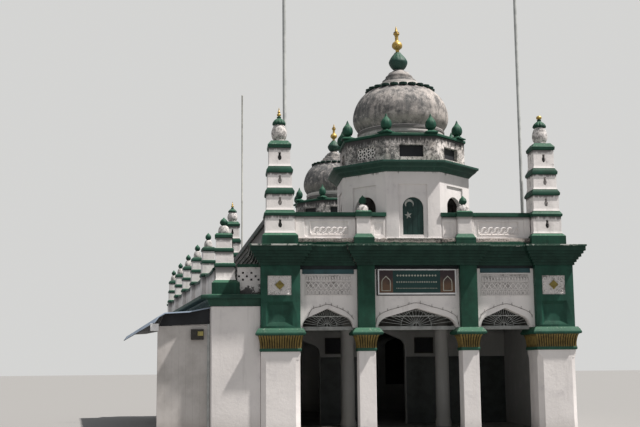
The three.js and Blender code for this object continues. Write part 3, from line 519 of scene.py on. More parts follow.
POLE = finish("pole_grey_paint", even, (0.47, 0.485, 0.475), (0.34, 0.355, 0.35), 0.5, 5.0, 0.05)
PALE_POLE = finish("mast_pale_paint", even, (0.62, 0.62, 0.57), (0.42, 0.42, 0.39), 0.45, 5.0, 0.1)
AWNING = finish("awning_sheet_paint", awning_sheet)
BOARDS = finish("cream_boards", painted_boards)
# Near black: the black fascia and board joints, and painted shade behind slots, holes, louvres and the sign board
BLACK_AND_PAINTED_SHADE = finish("fascia_black_board", even, (0.022, 0.024, 0.028), (0.014, 0.015, 0.018), 0.6, 3.0)
FLOOR_CONCRETE = finish("floor_concrete", concrete, (0.34, 0.33, 0.31), (0.24, 0.23, 0.215))
ROOF_CONCRETE = finish("roof_concrete", concrete, (0.22, 0.215, 0.20), (0.13, 0.125, 0.12))
METER_BOX = finish("meter_box_board", even, (0.055, 0.05, 0.045), (0.03, 0.028, 0.026), 0.6, 20.0)
METER_DIAL = finish("meter_cover_yellow", even, (0.42, 0.36, 0.12), (0.26, 0.22, 0.08), 0.5, 30.0)
FRIEZE_PLASTER = finish("frieze_plaster", limewash, (), 0.15, (0.76, 0.73, 0.715))
# The frieze and scroll grounds are kept darker than the raised plaster: painted shade in the recess
FRIEZE_GROUND = finish("frieze_ground", grimy_ground, 3.79, (0.52, 0.495, 0.485))
SCROLL_GROUND = finish("scroll_panel_ground", grimy_ground, 9.0, (0.60, 0.58, 0.57))
LATTICE_PLASTER = finish("lattice_plaster", limewash, (), 0.2, (0.78, 0.75, 0.73))
# Near-black plaster inside the drum openings and under the dome: painted shade
SHADE_PLASTER = finish("hollow_dark_plaster", limewash, (), 0.5, (0.10, 0.098, 0.095))
LEDGE_PLASTER = finish("ledge_limewash", parapet_foot)
# Niche floors: painted shade in the hollows, a near-black and a mid-grey copy
NICHE = finish("niche_dark_hollow", even, (0.075, 0.082, 0.08), (0.04, 0.045, 0.045), 0.8, 20.0)
NICHE_GREY = finish("niche_grey_hollow", even, (0.50, 0.485, 0.475), (0.32, 0.31, 0.305), 0.8, 20.0)
SIDE_COPING = finish("side_coping_sooty_paint", sooty_coping)
ONION_GREEN = finish("onion_green_paint", green_paint, 0.65, 0.45, (0.012, 0.068, 0.043))
CROWN_GREEN = finish("crown_green_paint", green_paint, 0.5, 0.95, (0.0105, 0.052, 0.039), 0.4)
LEAF_GREEN = finish("leaf_green_paint", green_paint, 0.25, 0.06, (0.006, 0.030, 0.022))
DRUM_GREEN = finish("drum_cornice_green", drum_cornice_paint)
WING_GREEN = finish("wing_cornice_green", green_paint, 0.5, 0.3, (0.012, 0.058, 0.039), 0.3)
MAIN_CAP = finish("main_cap_cement", dome_cement, (0.6, 8.3, 8.9), 1.6,
                  ((8.45, 0.14, (0.66, 0.62, 0.59), 0.7), (8.64, 0.07, (0.09, 0.085, 0.08), 0.6),
                    (8.76, 0.08, (0.62, 0.58, 0.55), 0.6)))
TURRET_CEMENT = finish("turret_dome_render", stained_limewash, (0.62, 0.59, 0.57), 0.6)
RUST_GOLD = finish("rusted_gold_collar", even, (0.10, 0.05, 0.02), (0.05, 0.028, 0.015), 0.7, 30.0, 0.4)
CORNICE_FOOT_PAINTED_SHADE = finish("bed_mould_dark_paint", even, (0.012, 0.019, 0.021), (0.008, 0.012, 0.014), 0.7, 6.0)
# Porch ceiling painted near black: painted shade under the roof
PAINTED_SHADE_CEILING = finish("porch_ceiling_limewash", limewash, (), 0.4, (0.15, 0.155, 0.147))
DADO = finish("dado_dark_tile", even, (0.075, 0.088, 0.083), (0.05, 0.056, 0.055), 0.3, 4.0)


# Faces of one piece, each with the number of its finish
class Form:
    def __init__(self):
        self.faces = []

    def add(self, points, finish=0):
        self.faces.append(([Vector(q) for q in points], finish))

    def skin(self, rings, finishes):
        for index in range(len(rings) - 1):
            low, high = rings[index], rings[index + 1]
            tint = finishes[index] if isinstance(finishes, (list, tuple)) else finishes
            if tint is None:
                continue
            count = len(low)
            for i in range(count):
                j = (i + 1) % count
                self.add((low[i], low[j], high[j], high[i]), tint)

    def flat(self, outer, holes, place, finish=0, flip=False):
        loops = [outer, *holes]
        points = [q for loop in loops for q in loop]
        for face in tessellate_polygon([[Vector((u, v, 0)) for u, v in loop] for loop in loops]):
            (ax, ay), (bx, by), (cx, cy) = [points[i] for i in face]
            ccw = (bx - ax) * (cy - ay) - (by - ay) * (cx - ax) > 0
            order = face if ccw != flip else tuple(reversed(face))
            self.add([place(*points[i]) for i in order], finish)

    def plate(self, outer, holes, place, near, far, finish=0, back=True):
        # A board with holes, from depth near to depth far, its face at far
        self.flat(outer, holes, lambda u, v: place(u, v, far), finish)
        if back:
            self.flat(outer, holes, lambda u, v: place(u, v, near), finish, flip=True)
        for loop, inward in [(outer, False)] + [(hole, True) for hole in holes]:
            self.rim(loop, place, near, far, finish, inward)

    def rim(self, loop, place, near, far, finish=0, inward=False):
        area = sum(a[0] * b[1] - b[0] * a[1] for a, b in zip(loop, loop[1:] + loop[:1]))
        order = list(loop) if (area > 0) != inward else list(reversed(loop))
        for a, b in zip(order, order[1:] + order[:1]):
            self.add((place(*a, near), place(*b, near), place(*b, far), place(*a, far)), finish)

    def box(self, low, high, finish=0):
        (x0, y0, z0), (x1, y1, z1) = low, high
        ring = lambda z: [(x0, y0, z), (x1, y0, z), (x1, y1, z), (x0, y1, z)]
        self.skin([ring(z0), ring(z1)], finish)
        self.add(reversed(ring(z0)), finish)
        self.add(ring(z1), finish)

    def take(self, other, change=None, finish=None):
        for points, tint in other.faces:
            moved = [change(q) for q in points] if change else points
            self.faces.append((moved, tint if finish is None else finish))


def mesh_of(form, name):
    bm = bmesh.new()
    for points, tint in form.faces:
        face = bm.faces.new([bm.verts.new(q) for q in points])
        face.material_index = tint
    bmesh.ops.remove_doubles(bm, verts=bm.verts, dist=2e-4)
    bmesh.ops.dissolve_degenerate(bm, edges=bm.edges, dist=1e-5)
    mesh = bpy.data.meshes.new(name)
    bm.to_mesh(mesh)
    bm.free()
    return mesh


def softened(mesh, angle=38.0):
    mesh.shade_smooth()
    mesh.set_sharp_from_angle(angle=math.radians(angle))


def settle(mesh, name, finishes, replaces=(), bevel=0.0, angle=38.0):
    for item in finishes:
        mesh.materials.append(item)
    softened(mesh, angle)
    thing = bpy.data.objects.new(name, mesh)
    bpy.context.scene.collection.objects.link(thing)
    if bevel:
        edge = thing.modifiers.new("worn_edge", "BEVEL")
        edge.width = bevel
        edge.segments = 2
        edge.limit_method = "ANGLE"
        edge.angle_limit = math.radians(40)
        edge.harden_normals = False
    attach(thing, "root")
    if replaces:
        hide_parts(*replaces)
    return thing


def piece(form, name, finishes, replaces=(), bevel=0.0, angle=38.0):
    return settle(mesh_of(form, name), name, finishes, replaces, bevel, angle)


# Plan rings and profiles
def square(half, z, centre=(0.0, 0.0), deep=None):
    x, y = centre
    w = half if deep is None else deep
    return [(x - half, y - w, z), (x + half, y - w, z), (x + half, y + w, z), (x - half, y + w, z)]


def chamfered(half, cut, z, centre):
    x, y = centre
    a, b = half, half - cut
    return [(x + u, y + v, z) for u, v in
            ((-b, -a), (b, -a), (a, -b), (a, b), (b, a), (-b, a), (-a, b), (-a, -b))]


def octagon(apothem, z, centre=(0.0, 0.0)):
    r = apothem / math.cos(EIGHTH / 2)
    turns = [EIGHTH * (i - 3.5) for i in range(8)]
    return [(centre[0] + r * math.cos(t), centre[1] + r * math.sin(t), z) for t in turns]


def circle(radius, z, centre=(0.0, 0.0), count=48):
    turn = 2 * math.pi / count
    return [(centre[0] + radius * math.cos(turn * i), centre[1] + radius * math.sin(turn * i), z)
            for i in range(count)]


def offset(points, d):
    out = []
    for i, p in enumerate(points):
        q, r = Vector(points[i - 1]), Vector(points[(i + 1) % len(points)])
        a, b = (Vector(p) - q).normalized(), (r - Vector(p)).normalized()
        m, n = Vector((a.y, -a.x)), Vector((b.y, -b.x))
        miter = (m + n) * (d / (1 + m.dot(n)))
        out.append((p[0] + miter.x, p[1] + miter.y))
    return out


def eased(profile, steps=4):
    # Smooth curve through the points of a profile
    out = []
    last = len(profile) - 1
    for i in range(last):
        a, b, c, d = (profile[max(i - 1, 0)], profile[i], profile[i + 1], profile[min(i + 2, last)])
        for k in range(steps):
            t = k / steps
            out.append(tuple(0.5 * (2 * q + (r - p) * t + (2 * p - 5 * q + 4 * r - s) * t * t
                                    + (3 * q - 3 * r + s - p) * t ** 3) for p, q, r, s in zip(a, b, c, d)))
    out.append(profile[-1])
    return out


def stack(form, rings, tints, bottom=None, top=None):
    form.skin(rings, tints)
    if bottom is not None:
        form.add(reversed(rings[0]), bottom)
    if top is not None:
        form.add(rings[-1], top)


def lathe(form, profile, centre, count, tint=0, swell=None, close=True):
    # profile of (radius, z) from the foot up; swell changes the radius round the turn
    rings = []
    for radius, z in profile:
        ring = []
        for i in range(count):
            t = 2 * math.pi * i / count
            r = max(radius, 0.0005) * (swell(t, z) if swell else 1.0)
            ring.append((centre[0] + r * math.cos(t), centre[1] + r * math.sin(t), z))
        rings.append(ring)
    form.skin(rings, tint)
    if close:
        form.add(reversed(rings[0]), tint if isinstance(tint, int) else tint[0])
        form.add(rings[-1], tint if isinstance(tint, int) else tint[-1])


def facing(origin, angle=0.0):
    # Turns (across, up, out) on a wall face into a point; angle 0 looks to the front
    ux, uy = math.cos(angle), math.sin(angle)
    ox, oy, oz = origin

    def place(u, v, w=0.0):
        return Vector((ox + u * ux + w * uy, oy + u * uy - w * ux, oz + v))
    return place


def rectangle(x0, x1, z0, z1):
    return [(x0, z0), (x1, z0), (x1, z1), (x0, z1)]


def rounded(x0, x1, z0, z1, r, steps=4):
    points = []
    for cx, cz, start in ((x1 - r, z0 + r, -90), (x1 - r, z1 - r, 0), (x0 + r, z1 - r, 90), (x0 + r, z0 + r, 180)):
        for i in range(steps + 1):
            t = math.radians(start + 90 * i / steps)
            points.append((cx + r * math.cos(t), cz + r * math.sin(t)))
    return points


def disc(cx, cz, r, count=16, squash=1.0):
    return [(cx + r * math.cos(2 * math.pi * i / count), cz + squash * r * math.sin(2 * math.pi * i / count))
            for i in range(count)]


def pointed_arch(centre, half, spring, rise, foot, steps=10):
    right = []
    for i in range(steps + 1):
        t = i / steps * 1.05
        right.append((half - 0.42 * half * (1 - math.cos(t)), spring + 0.62 * rise * math.sin(t)))
    points = [(centre + half, foot)] + [(centre + x, z) for x, z in right] + [(centre, spring + rise)]
    points += [(centre - x, z) for x, z in reversed(right)] + [(centre - half, foot)]
    return points


def round_arch(half, foot, spring, steps=20):
    points = [(half, foot)]
    points += [(half * math.cos(math.pi * i / steps), spring + half * math.sin(math.pi * i / steps))
               for i in range(steps + 1)]
    return points + [(-half, foot)]


# Geometry Nodes: what repeats round a circle, in a row or along a path, and tubes on a path
def tree_with(name, inputs):
    tree = bpy.data.node_groups.new(name, "GeometryNodeTree")
    tree.interface.new_socket("Geometry", in_out="OUTPUT", socket_type="NodeSocketGeometry")
    for label, kind in inputs:
        tree.interface.new_socket(label, in_out="INPUT", socket_type="NodeSocket" + kind)
    graph = Graph(tree)
    entry = tree.nodes.new("NodeGroupInput")
    wires = {label: Wire(graph, entry.outputs[label]) for label, _ in inputs}
    return graph, wires


def end_tree(graph, shape, finish):
    real = graph.node("GeometryNodeRealizeInstances", {}, {"Geometry": shape})
    painted = graph.node("GeometryNodeSetMaterial", {}, {"Geometry": real, "Material": finish})
    graph.tree.links.new(painted.socket, graph.tree.nodes.new("NodeGroupOutput").inputs[0])
    return graph.tree


def ring_tree():
    g, w = tree_with("ring_of_forms", (("Form", "Object"), ("Count", "Int"), ("Radius", "Float"),
                                       ("Start", "Float"), ("Finish", "Material")))
    points = g.node("GeometryNodeMeshCircle", {}, {"Vertices": w["Count"], "Radius": w["Radius"]})
    turn = g.node("ShaderNodeCombineXYZ", {}, {"Z": w["Start"]})
    points = g.node("GeometryNodeTransform", {}, {"Geometry": points, "Rotation": turn})
    form = g.node("GeometryNodeObjectInfo", {}, {"Object": w["Form"]}, out="Geometry")
    place = g.tree.nodes.new("ShaderNodeSeparateXYZ")
    g.tree.links.new(g.node("GeometryNodeInputPosition").socket, place.inputs[0])
    angle = Wire(g, place.outputs[1]).math("ARCTAN2", Wire(g, place.outputs[0]))
    face = g.node("ShaderNodeCombineXYZ", {}, {"Z": angle})
    forms = g.node("GeometryNodeInstanceOnPoints", {}, {"Points": points, "Instance": form, "Rotation": face})
    return end_tree(g, forms, w["Finish"])


def row_tree():
    g, w = tree_with("row_of_forms", (("Form", "Object"), ("Count", "Int"), ("Start", "Vector"),
                                      ("Step", "Vector"), ("Turn", "Float"), ("Finish", "Material")))
    values = {"Count": w["Count"], "Start Location": w["Start"], "Offset": w["Step"]}
    points = g.node("GeometryNodeMeshLine", {"mode": "OFFSET"}, values)
    form = g.node("GeometryNodeObjectInfo", {}, {"Object": w["Form"]}, out="Geometry")
    face = g.node("ShaderNodeCombineXYZ", {}, {"Z": w["Turn"]})
    forms = g.node("GeometryNodeInstanceOnPoints", {}, {"Points": points, "Instance": form, "Rotation": face})
    return end_tree(g, forms, w["Finish"])


def path_tree():
    g, w = tree_with("forms_on_path", (("Path", "Geometry"), ("Form", "Object"), ("Spacing", "Float"),
                                       ("Finish", "Material")))
    curve = g.node("GeometryNodeMeshToCurve", {}, {"Mesh": w["Path"]})
    curve = g.node("GeometryNodeResampleCurve", {"mode": "LENGTH"}, {"Curve": curve, "Length": w["Spacing"]})
    form = g.node("GeometryNodeObjectInfo", {}, {"Object": w["Form"]}, out="Geometry")
    forms = g.node("GeometryNodeInstanceOnPoints", {}, {"Points": curve, "Instance": form})
    return end_tree(g, forms, w["Finish"])


def tube_tree():
    g, w = tree_with("tube_on_path", (("Path", "Geometry"), ("Radius", "Float"), ("Sides", "Int"),
                                      ("Finish", "Material")))
    curve = g.node("GeometryNodeMeshToCurve", {}, {"Mesh": w["Path"]})
    section = g.node("GeometryNodeCurvePrimitiveCircle", {}, {"Resolution": w["Sides"], "Radius": w["Radius"]})
    values = {"Curve": curve, "Profile Curve": section, "Fill Caps": True}
    tube = g.node("GeometryNodeCurveToMesh", {}, values)
    return end_tree(g, tube, w["Finish"])


TREES = {"ring": ring_tree(), "row": row_tree(), "path": path_tree(), "tube": tube_tree()}


def grown(kind, mesh, **inputs):
    # Runs one of the trees on a mesh and hands back the plain mesh
    tree = TREES[kind]
    carrier = bpy.data.objects.new("carrier", mesh or bpy.data.meshes.new("carrier"))
    bpy.context.scene.collection.objects.link(carrier)
    modifier = carrier.modifiers.new("grow", "NODES")
    modifier.node_group = tree
    ids = {s.name: s.identifier for s in tree.interface.items_tree if s.in_out == "INPUT"}
    for label, value in inputs.items():
        modifier[ids[label.replace("_", " ")]] = value
    bpy.context.view_layer.update()
    settled = carrier.evaluated_get(bpy.context.evaluated_depsgraph_get())
    made = bpy.data.meshes.new_from_object(settled)
    bpy.data.objects.remove(carrier)
    return made


def seed(form, name):
    # A small form to be repeated, kept out of the scene
    return bpy.data.objects.new(name, mesh_of(form, name))


def lines_mesh(name, lines):
    points, edges = [], []
    for line in lines:
        start = len(points)
        points += [tuple(q) for q in line]
        edges += [(start + i, start + i + 1) for i in range(len(line) - 1)]
    mesh = bpy.data.meshes.new(name)
    mesh.from_pydata(points, edges, [])
    return mesh


def tubes(name, lines, radius, finish, sides=6):
    made = grown("tube", lines_mesh(name, lines), Radius=radius, Sides=sides, Finish=finish)
    return settle(made, name, [], angle=60.0)


def merged(name, meshes):
    bm = bmesh.new()
    for mesh in meshes:
        bm.from_mesh(mesh)
    out = bpy.data.meshes.new(name)
    bm.to_mesh(out)
    bm.free()
    return out


def shifted(mesh, x=0.0, y=0.0, z=0.0):
    mesh.transform(Matrix.Translation((x, y, z)))
    return mesh


# Solids of the frame that keep their shape: merged, edges softened, finished face by face
def dressed(node, finishes, choose=None, bevel=0.006, angle=30.0):
    bm = bmesh.new()
    bm.from_mesh(NODES[node].data)
    bmesh.ops.remove_doubles(bm, verts=bm.verts, dist=2e-4)
    bmesh.ops.dissolve_limit(bm, angle_limit=math.radians(0.6), verts=bm.verts, edges=bm.edges)
    bm.normal_update()
    for face in bm.faces:
        face.material_index = choose(face.calc_center_median(), face.normal) if choose else 0
    mesh = bpy.data.meshes.new(node + "_mesh")
    bm.to_mesh(mesh)
    bm.free()
    return settle(mesh, node + "_finish", finishes, (node,), bevel, angle)


# Front piers and columns: shaft, green ring, reeded ochre necking, green capital, green upper part
SUPPORT_FINISHES = [PIER_PLASTER, CAPITAL_GREEN, OCHRE, GREEN, SCROLL_GROUND, DIAMOND, OCHRE_PAINTED_SHADE]
PIER_FINISHES = [PIER_PLASTER, CAPITAL_GREEN, OCHRE, PIER_GREEN, SCROLL_GROUND, DIAMOND, OCHRE_PAINTED_SHADE]
REED = 0.053
RECESS = (-0.31, 0.262, 2.536, 3.067)
RECESS_FLOOR = (-0.24, 0.19, 2.62, 2.997)
PANEL = (-0.281, 0.236, 3.21, 3.631)
DIAMOND_HALF = 0.105


def slab_rings(profile, centre, stretch):
    return [square(half, z, centre, half * stretch) for half, z in profile]


def reeded(form, centre, stretch, low, high, z0, z1, tint):
    levels = 8
    reeds = round(2 * low / REED)
    rings = []
    for level in range(levels + 1):
        t = level / levels
        half = low + (high - low) * t ** 2.4
        lift = 0.024 * min(1.0, 5 * t, 5 * (1 - t))
        rings.append(reeded_ring(centre, half, half * stretch, z0 + (z1 - z0) * t, reeds, lift))
    for low_ring, high_ring in zip(rings, rings[1:]):
        for i in range(len(low_ring)):
            j = (i + 1) % len(low_ring)
            # Faces beside each groove take the dark ochre: painted shade in the hollows
            hollow = i % 6 in (0, 5)
            form.add((low_ring[i], low_ring[j], high_ring[j], high_ring[i]), 6 if hollow else tint)


def reeded_ring(centre, half, deep, z, reeds, lift):
    ring = []
    steps = 6 * reeds
    for ux, uy in ((1, 0), (0, 1), (-1, 0), (0, -1)):
        for k in range(steps):
            along = 2 * k / steps - 1
            out = 1 - (lift - lift * abs(math.sin(math.pi * reeds * k / steps))) / half
            x = along * ux + out * uy
            y = along * uy - out * ux
            ring.append((centre[0] + half * x, centre[1] + deep * y, z))
    return ring


def support(node, centre, stretch, shaft, neck, abacus, inset, upper, cut, panelled_sides):
    form = Form()
    feet = [(shaft + 0.006, FLOOR), (shaft, FLOOR + 0.35), (shaft, 1.80)]
    rings = [chamfered(half, cut, z, (0, 0)) for half, z in feet]
    rings += [chamfered(shaft, 0.004, z, (0, 0)) for z in (1.90, 1.977)]
    rings = [[(centre[0] + x, centre[1] + y * stretch, z) for x, y, z in ring] for ring in rings]
    stack(form, rings, 0, bottom=0)
    ring = [(shaft - 0.01, 1.972), (neck - 0.004, 1.982), (neck + 0.004, 2.0), (neck + 0.004, 2.03),
            (neck - 0.004, 2.046), (neck - 0.03, 2.048)]
    form.skin(slab_rings(ring, centre, stretch), 1)
    top = neck + 0.45 * (abacus - neck)
    reeded(form, centre, stretch, neck - 0.004, top, 2.045, 2.326, 2)
    cap = [(top - 0.03, 2.318), (top, 2.324), (abacus - 0.014, 2.334), (abacus - 0.002, 2.35), (abacus, 2.375),
           (abacus - 0.012, 2.398), (abacus - 0.35 * inset, 2.414), (abacus - 0.5 * inset, 2.44),
           (abacus - 0.85 * inset, 2.46), (abacus - inset, 2.484), (upper - 0.002, SPRING)]
    form.skin(slab_rings(cap, centre, stretch), 1)
    deep = upper * stretch
    for side in range(4):
        out = deep if side % 2 == 0 else upper
        across = upper if side % 2 == 0 else deep
        place = facing((centre[0], centre[1], 0.0), side * math.pi / 2)
        if side in panelled_sides:
            panelled(form, place, across, out)
        else:
            form.flat(rectangle(-across, across, SPRING, WALL_TOP), [], lambda u, v: place(u, v, out), 3)
    finishes = PIER_FINISHES if panelled_sides else SUPPORT_FINISHES
    return piece(form, node + "_dressed", finishes, (node,), 0.007)


def panelled(form, place, across, out):
    recess, inner, panel = [rectangle(*box) for box in (RECESS, RECESS_FLOOR, PANEL)]
    face = lambda u, v, w=0.0: place(u, v, out + w)
    form.flat(rectangle(-across, across, SPRING, WALL_TOP), [recess, panel], face, 3)
    # The bottom bevel of the recess takes the paler capital green: a painted highlight on the upward ledge
    for i in range(4):
        j = (i + 1) % 4
        form.add((face(*recess[i]), face(*recess[j]), face(*inner[j], -0.055), face(*inner[i], -0.055)),
                 1 if i == 0 else 3)
    form.flat(inner, [], lambda u, v: face(u, v, -0.055), 3)
    form.rim(panel, face, -0.022, 0.0, 4, True)
    form.flat(panel, [], lambda u, v: face(u, v, -0.022), 4)
    cx, cz = (PANEL[0] + PANEL[1]) / 2 + 0.006, (PANEL[2] + PANEL[3]) / 2 + 0.008
    tip = DIAMOND_HALF
    diamond = [(cx, cz - tip), (cx + tip, cz), (cx, cz + tip), (cx - tip, cz)]
    form.plate(diamond, [], face, -0.022, 0.001, 5, back=False)


def curl(cx, cz, radius, start, hand, turns=1.35, steps=16):
    # A vine scroll that winds in to its eye, as points across and up
    points = []
    for i in range(steps + 1):
        t = i / steps
        angle = start + hand * turns * 2 * math.pi * t
        r = radius * (1 - 0.82 * t)
        points.append((cx + r * math.cos(angle), cz + r * math.sin(angle)))
    return points


def panel_scrolls(name, place, out):
    cx, cz = (PANEL[0] + PANEL[1]) / 2, (PANEL[2] + PANEL[3]) / 2
    lines = []
    for sx in (-1, 1):
        for sz in (-1, 1):
            hand = sx * sz
            lines.append(curl(cx + sx * 0.185, cz + sz * 0.135, 0.058, 0.6, hand))
            lines.append(curl(cx + sx * 0.075, cz + sz * 0.160, 0.042, 2.2, -hand))
            lines.append(curl(cx + sx * 0.205, cz + sz * 0.035, 0.036, -0.9, -hand))
            lines.append([(cx + sx * 0.02, cz + sz * 0.19), (cx + sx * 0.12, cz + sz * 0.09), (cx + sx * 0.24,
                          cz + sz * 0.02)])
    paths = [[place(u, v, out - 0.020) for u, v in line] for line in lines]
    return tubes(name, paths, 0.0085, FRIEZE_PLASTER, 6)


def supports():
    pier = (1.0, 0.43, 0.455, 0.55, 0.062, 0.435, 0.105)
    column = (1.1316, 0.185, 0.205, 0.34, 0.08, 0.19, 0.006)
    pier_y, column_y = (PIER_FRONT + PIER_BACK) / 2, (PIER_FRONT - 0.07) / 2
    left, right = LEFT + PIER / 2, RIGHT - PIER / 2
    support("left_front_pier", (left, pier_y), *pier, (0,))
    support("right_front_pier", (right, pier_y), *pier, (0, 1))
    support("left_column", (-COLUMN_X, column_y), *column, ())
    support("right_column", (COLUMN_X, column_y), *column, ())
    for name, x, side in (("left", left, 0), ("right", right, 0), ("right_side", right, 1)):
        place = facing((x, pier_y, 0.0), side * math.pi / 2)
        panel_scrolls(name + "_pier_scrolls", place, PIER / 2)


# Pointed arches in the three bays: wall, transom and fan grille, lamp wire, frieze, painted strip
ARCHES = {"left": (-2.004, 0.567, -2.62, -1.342), "centre": (0.0, 0.887, -0.962, 0.962),
          "right": (2.004, 0.567, 1.342, 2.67)}
ARCH_RISE = 0.43
GRILLE_Y = -0.16
LAMP_WIRES = {
    "left": ((-2.46, 2.69), (-2.359, 2.90), (-2.174, 2.961), (-2.004, 3.011), (-1.835, 2.955), (-1.665, 2.888),
             (-1.52, 2.79), (-1.426, 2.676)),
    "centre": ((-0.93, 2.56), (-0.883, 2.744), (-0.667, 2.864), (-0.35, 2.953), (-0.017, 3.037), (0.33, 2.95),
               (0.65, 2.86), (0.87, 2.74), (0.925, 2.56)),
    "right": ((1.43, 2.68), (1.478, 2.803), (1.74, 2.93), (2.016, 3.007), (2.29, 2.93), (2.559, 2.813), (2.61, 2.7)),
}
FRIEZES = {"left": (-2.49, -1.472, 3.22, 3.668), "right": (1.47, 2.56, 3.20, 3.69)}
STRIPS = {"left": (-2.565, -1.41, 3.682, 3.787), "right": (1.45, 2.60, 3.706, 3.807)}


def arch_wall(side):
    centre, half, x0, x1 = ARCHES[side]
    arch = pointed_arch(centre, half, SPRING, ARCH_RISE, SPRING)[1:-1]
    outline = [(x1, SPRING), (x1, WALL_TOP), (x0, WALL_TOP), (x0, SPRING)] + list(reversed(arch))
    form = Form()
    form.plate(outline, [], facing((0.0, BAY_FRONT, 0.0)), -0.26, 0.0, 0)
    piece(form, side + "_arch_face", [PLASTER], (side + "_arch_wall",), 0.012)


def arch_width(z, half):
    # Half width of an arch at a height
    points = [(x, h) for x, h in pointed_arch(0.0, half, SPRING, ARCH_RISE, SPRING) if x >= 0]
    for (xa, za), (xb, zb) in zip(points, points[1:]):
        if za <= z <= zb and zb > za:
            return xa + (xb - xa) * (z - za) / (zb - za)
    return half if z < SPRING else 0.0


def fan_rays(centre, half, count):
    rays = []
    foot = 2.53
    for i in range(1, count):
        angle = math.pi * i / count
        reach = 0.0
        while abs(reach * math.cos(angle)) < arch_width(foot + reach * math.sin(angle), half) - 0.004:
            reach += 0.01
        tip = (centre + reach * math.cos(angle), GRILLE_Y, foot + reach * math.sin(angle))
        root = 0.07 if i % 2 else 0.22 * half / 0.567
        rays.append([(centre + root * math.cos(angle), GRILLE_Y, foot + root * math.sin(angle)), tip])
    return rays


def arc(centre, radius, z, start, end, steps=14):
    turn = [math.radians(start + (end - start) * i / steps) for i in range(steps + 1)]
    return [(centre + radius * math.cos(t), GRILLE_Y, z + radius * math.sin(t)) for t in turn]


def fan_grille(side):
    centre, half, _, _ = ARCHES[side]
    form = Form()
    form.box((centre - half - 0.01, GRILLE_Y - 0.03, 2.442), (centre + half + 0.01, GRILLE_Y + 0.03, 2.526))
    wide = arch_width(2.75, half)
    form.box((centre - wide, GRILLE_Y - 0.012, 2.743), (centre + wide, GRILLE_Y + 0.01, 2.760), 1)
    piece(form, side + "_transom_bar", [BAR, IRON], (), 0.004)
    lines = fan_rays(centre, half, 26 if side == "centre" else 22)
    lines += [arc(centre, 0.07, 2.53, 0, 180), arc(centre, 0.22 * half / 0.567, 2.53, 0, 180)]
    tubes(side + "_fan_grille", lines, 0.0048, IRON, 5)
    boss = Form()
    spindle = [(0.018, 2.526), (0.020, 2.536), (0.009, 2.548), (0.016, 2.575), (0.017, 2.595), (0.008, 2.62),
               (0.012, 2.64), (0.005, 2.70), (0.002, 2.80)]
    lathe(boss, spindle, (centre, GRILLE_Y), 12)
    piece(boss, side + "_grille_boss", [BAR])


def lamp_wire(side):
    y = BAY_FRONT - 0.008
    points = [(x, y, z) for x, z in eased(LAMP_WIRES[side], 4)]
    lines = [points]
    for x, _, z in points[2::3]:
        lines.append([(x, y, z - 0.012), (x, y - 0.012, z + 0.05)])
    tubes(side + "_lamp_wire", lines, 0.0042, WIRE_RUST, 5)


def frieze_forms():
    # Raised shapes of the three rows: a fir triangle, a cross with a lozenge, a little arch
    flat = facing((0.0, 0.0, 0.0))
    triangle, cross, niche = Form(), Form(), Form()
    triangle.plate([(-0.028, 0.0), (0.028, 0.0), (0.0, 0.105)], [[(-0.011, 0.016), (0.011, 0.016), (0.0, 0.058)]],
                   flat, 0.0, 0.016, 0, False)
    for s in (-1, 1):
        bar = [(-0.052 * s - 0.010, 0.0), (-0.052 * s + 0.010, 0.0), (0.052 * s + 0.010, 0.135),
               (0.052 * s - 0.010, 0.135)]
        cross.plate(bar, [], flat, 0.0, 0.012 + 0.003 * s, 0, False)
    lozenge = [(0.0, 0.044), (0.022, 0.068), (0.0, 0.092), (-0.022, 0.068)]
    cross.plate(lozenge, [], flat, 0.0, 0.024, 0, False)
    outer = pointed_arch(0.0, 0.037, 0.055, 0.05, 0.0, 4)
    inner = pointed_arch(0.0, 0.024, 0.052, 0.034, 0.008, 4)
    niche.plate(outer, [inner], flat, 0.0, 0.015, 0, False)
    return [seed(form, "frieze_form") for form in (triangle, cross, niche)]


def frieze(side, forms):
    x0, x1, z0, z1 = FRIEZES[side]
    y = BAY_FRONT + 0.002
    rows = ((forms[0], 16, z0 + 0.312), (forms[1], 9, z0 + 0.140), (forms[2], 12, z0 + 0.010))
    meshes = []
    for form, count, z in rows:
        pitch = (x1 - x0) / count
        start = Vector((x0 + pitch / 2, y, z))
        meshes.append(grown("row", None, Form=form, Count=count, Start=start, Step=Vector((pitch, 0, 0)),
                            Turn=0.0, Finish=FRIEZE_PLASTER))
    edges = Form()
    for z in (z0 - 0.012, z0 + 0.125, z0 + 0.295, z1 - 0.012):
        edges.box((x0 - 0.012, y - 0.014, z), (x1 + 0.012, y, z + 0.012))
    for x in (x0 - 0.022, x1 + 0.010):
        edges.box((x, y - 0.014, z0 - 0.012), (x + 0.012, y, z1))
    meshes.append(mesh_of(edges, "frieze_edges"))
    joined = merged(side + "_frieze_mesh", meshes)
    joined.materials.clear()
    settle(joined, side + "_frieze", [FRIEZE_PLASTER])
    back = Form()
    back.box((x0, y - 0.004, z0), (x1, y, z1))
    piece(back, side + "_frieze_ground", [FRIEZE_GROUND])
    strip = Form()
    sx0, sx1, sz0, sz1 = STRIPS[side]
    strip.box((sx0, BAY_FRONT - 0.012, sz0), (sx1, BAY_FRONT, sz1))
    piece(strip, side + "_painted_strip", [TEAL], (), 0.003)


def bed_mould(side):
    # Dark band between the bay and the cornice: painted shade under the cornice, tinted dark green
    _, _, x0, x1 = ARCHES[side]
    foot = STRIPS[side][3] - 0.002 if side in STRIPS else 3.795
    form = Form()
    form.box((x0, BAY_FRONT - 0.02, foot), (x1, BAY_FRONT, WALL_TOP))
    piece(form, side + "_bed_mould", [CORNICE_FOOT_PAINTED_SHADE], (), 0.003)


def bays():
    for side in ARCHES:
        arch_wall(side)
        fan_grille(side)
        lamp_wire(side)
        bed_mould(side)
    forms = frieze_forms()
    for side in FRIEZES:
        frieze(side, forms)


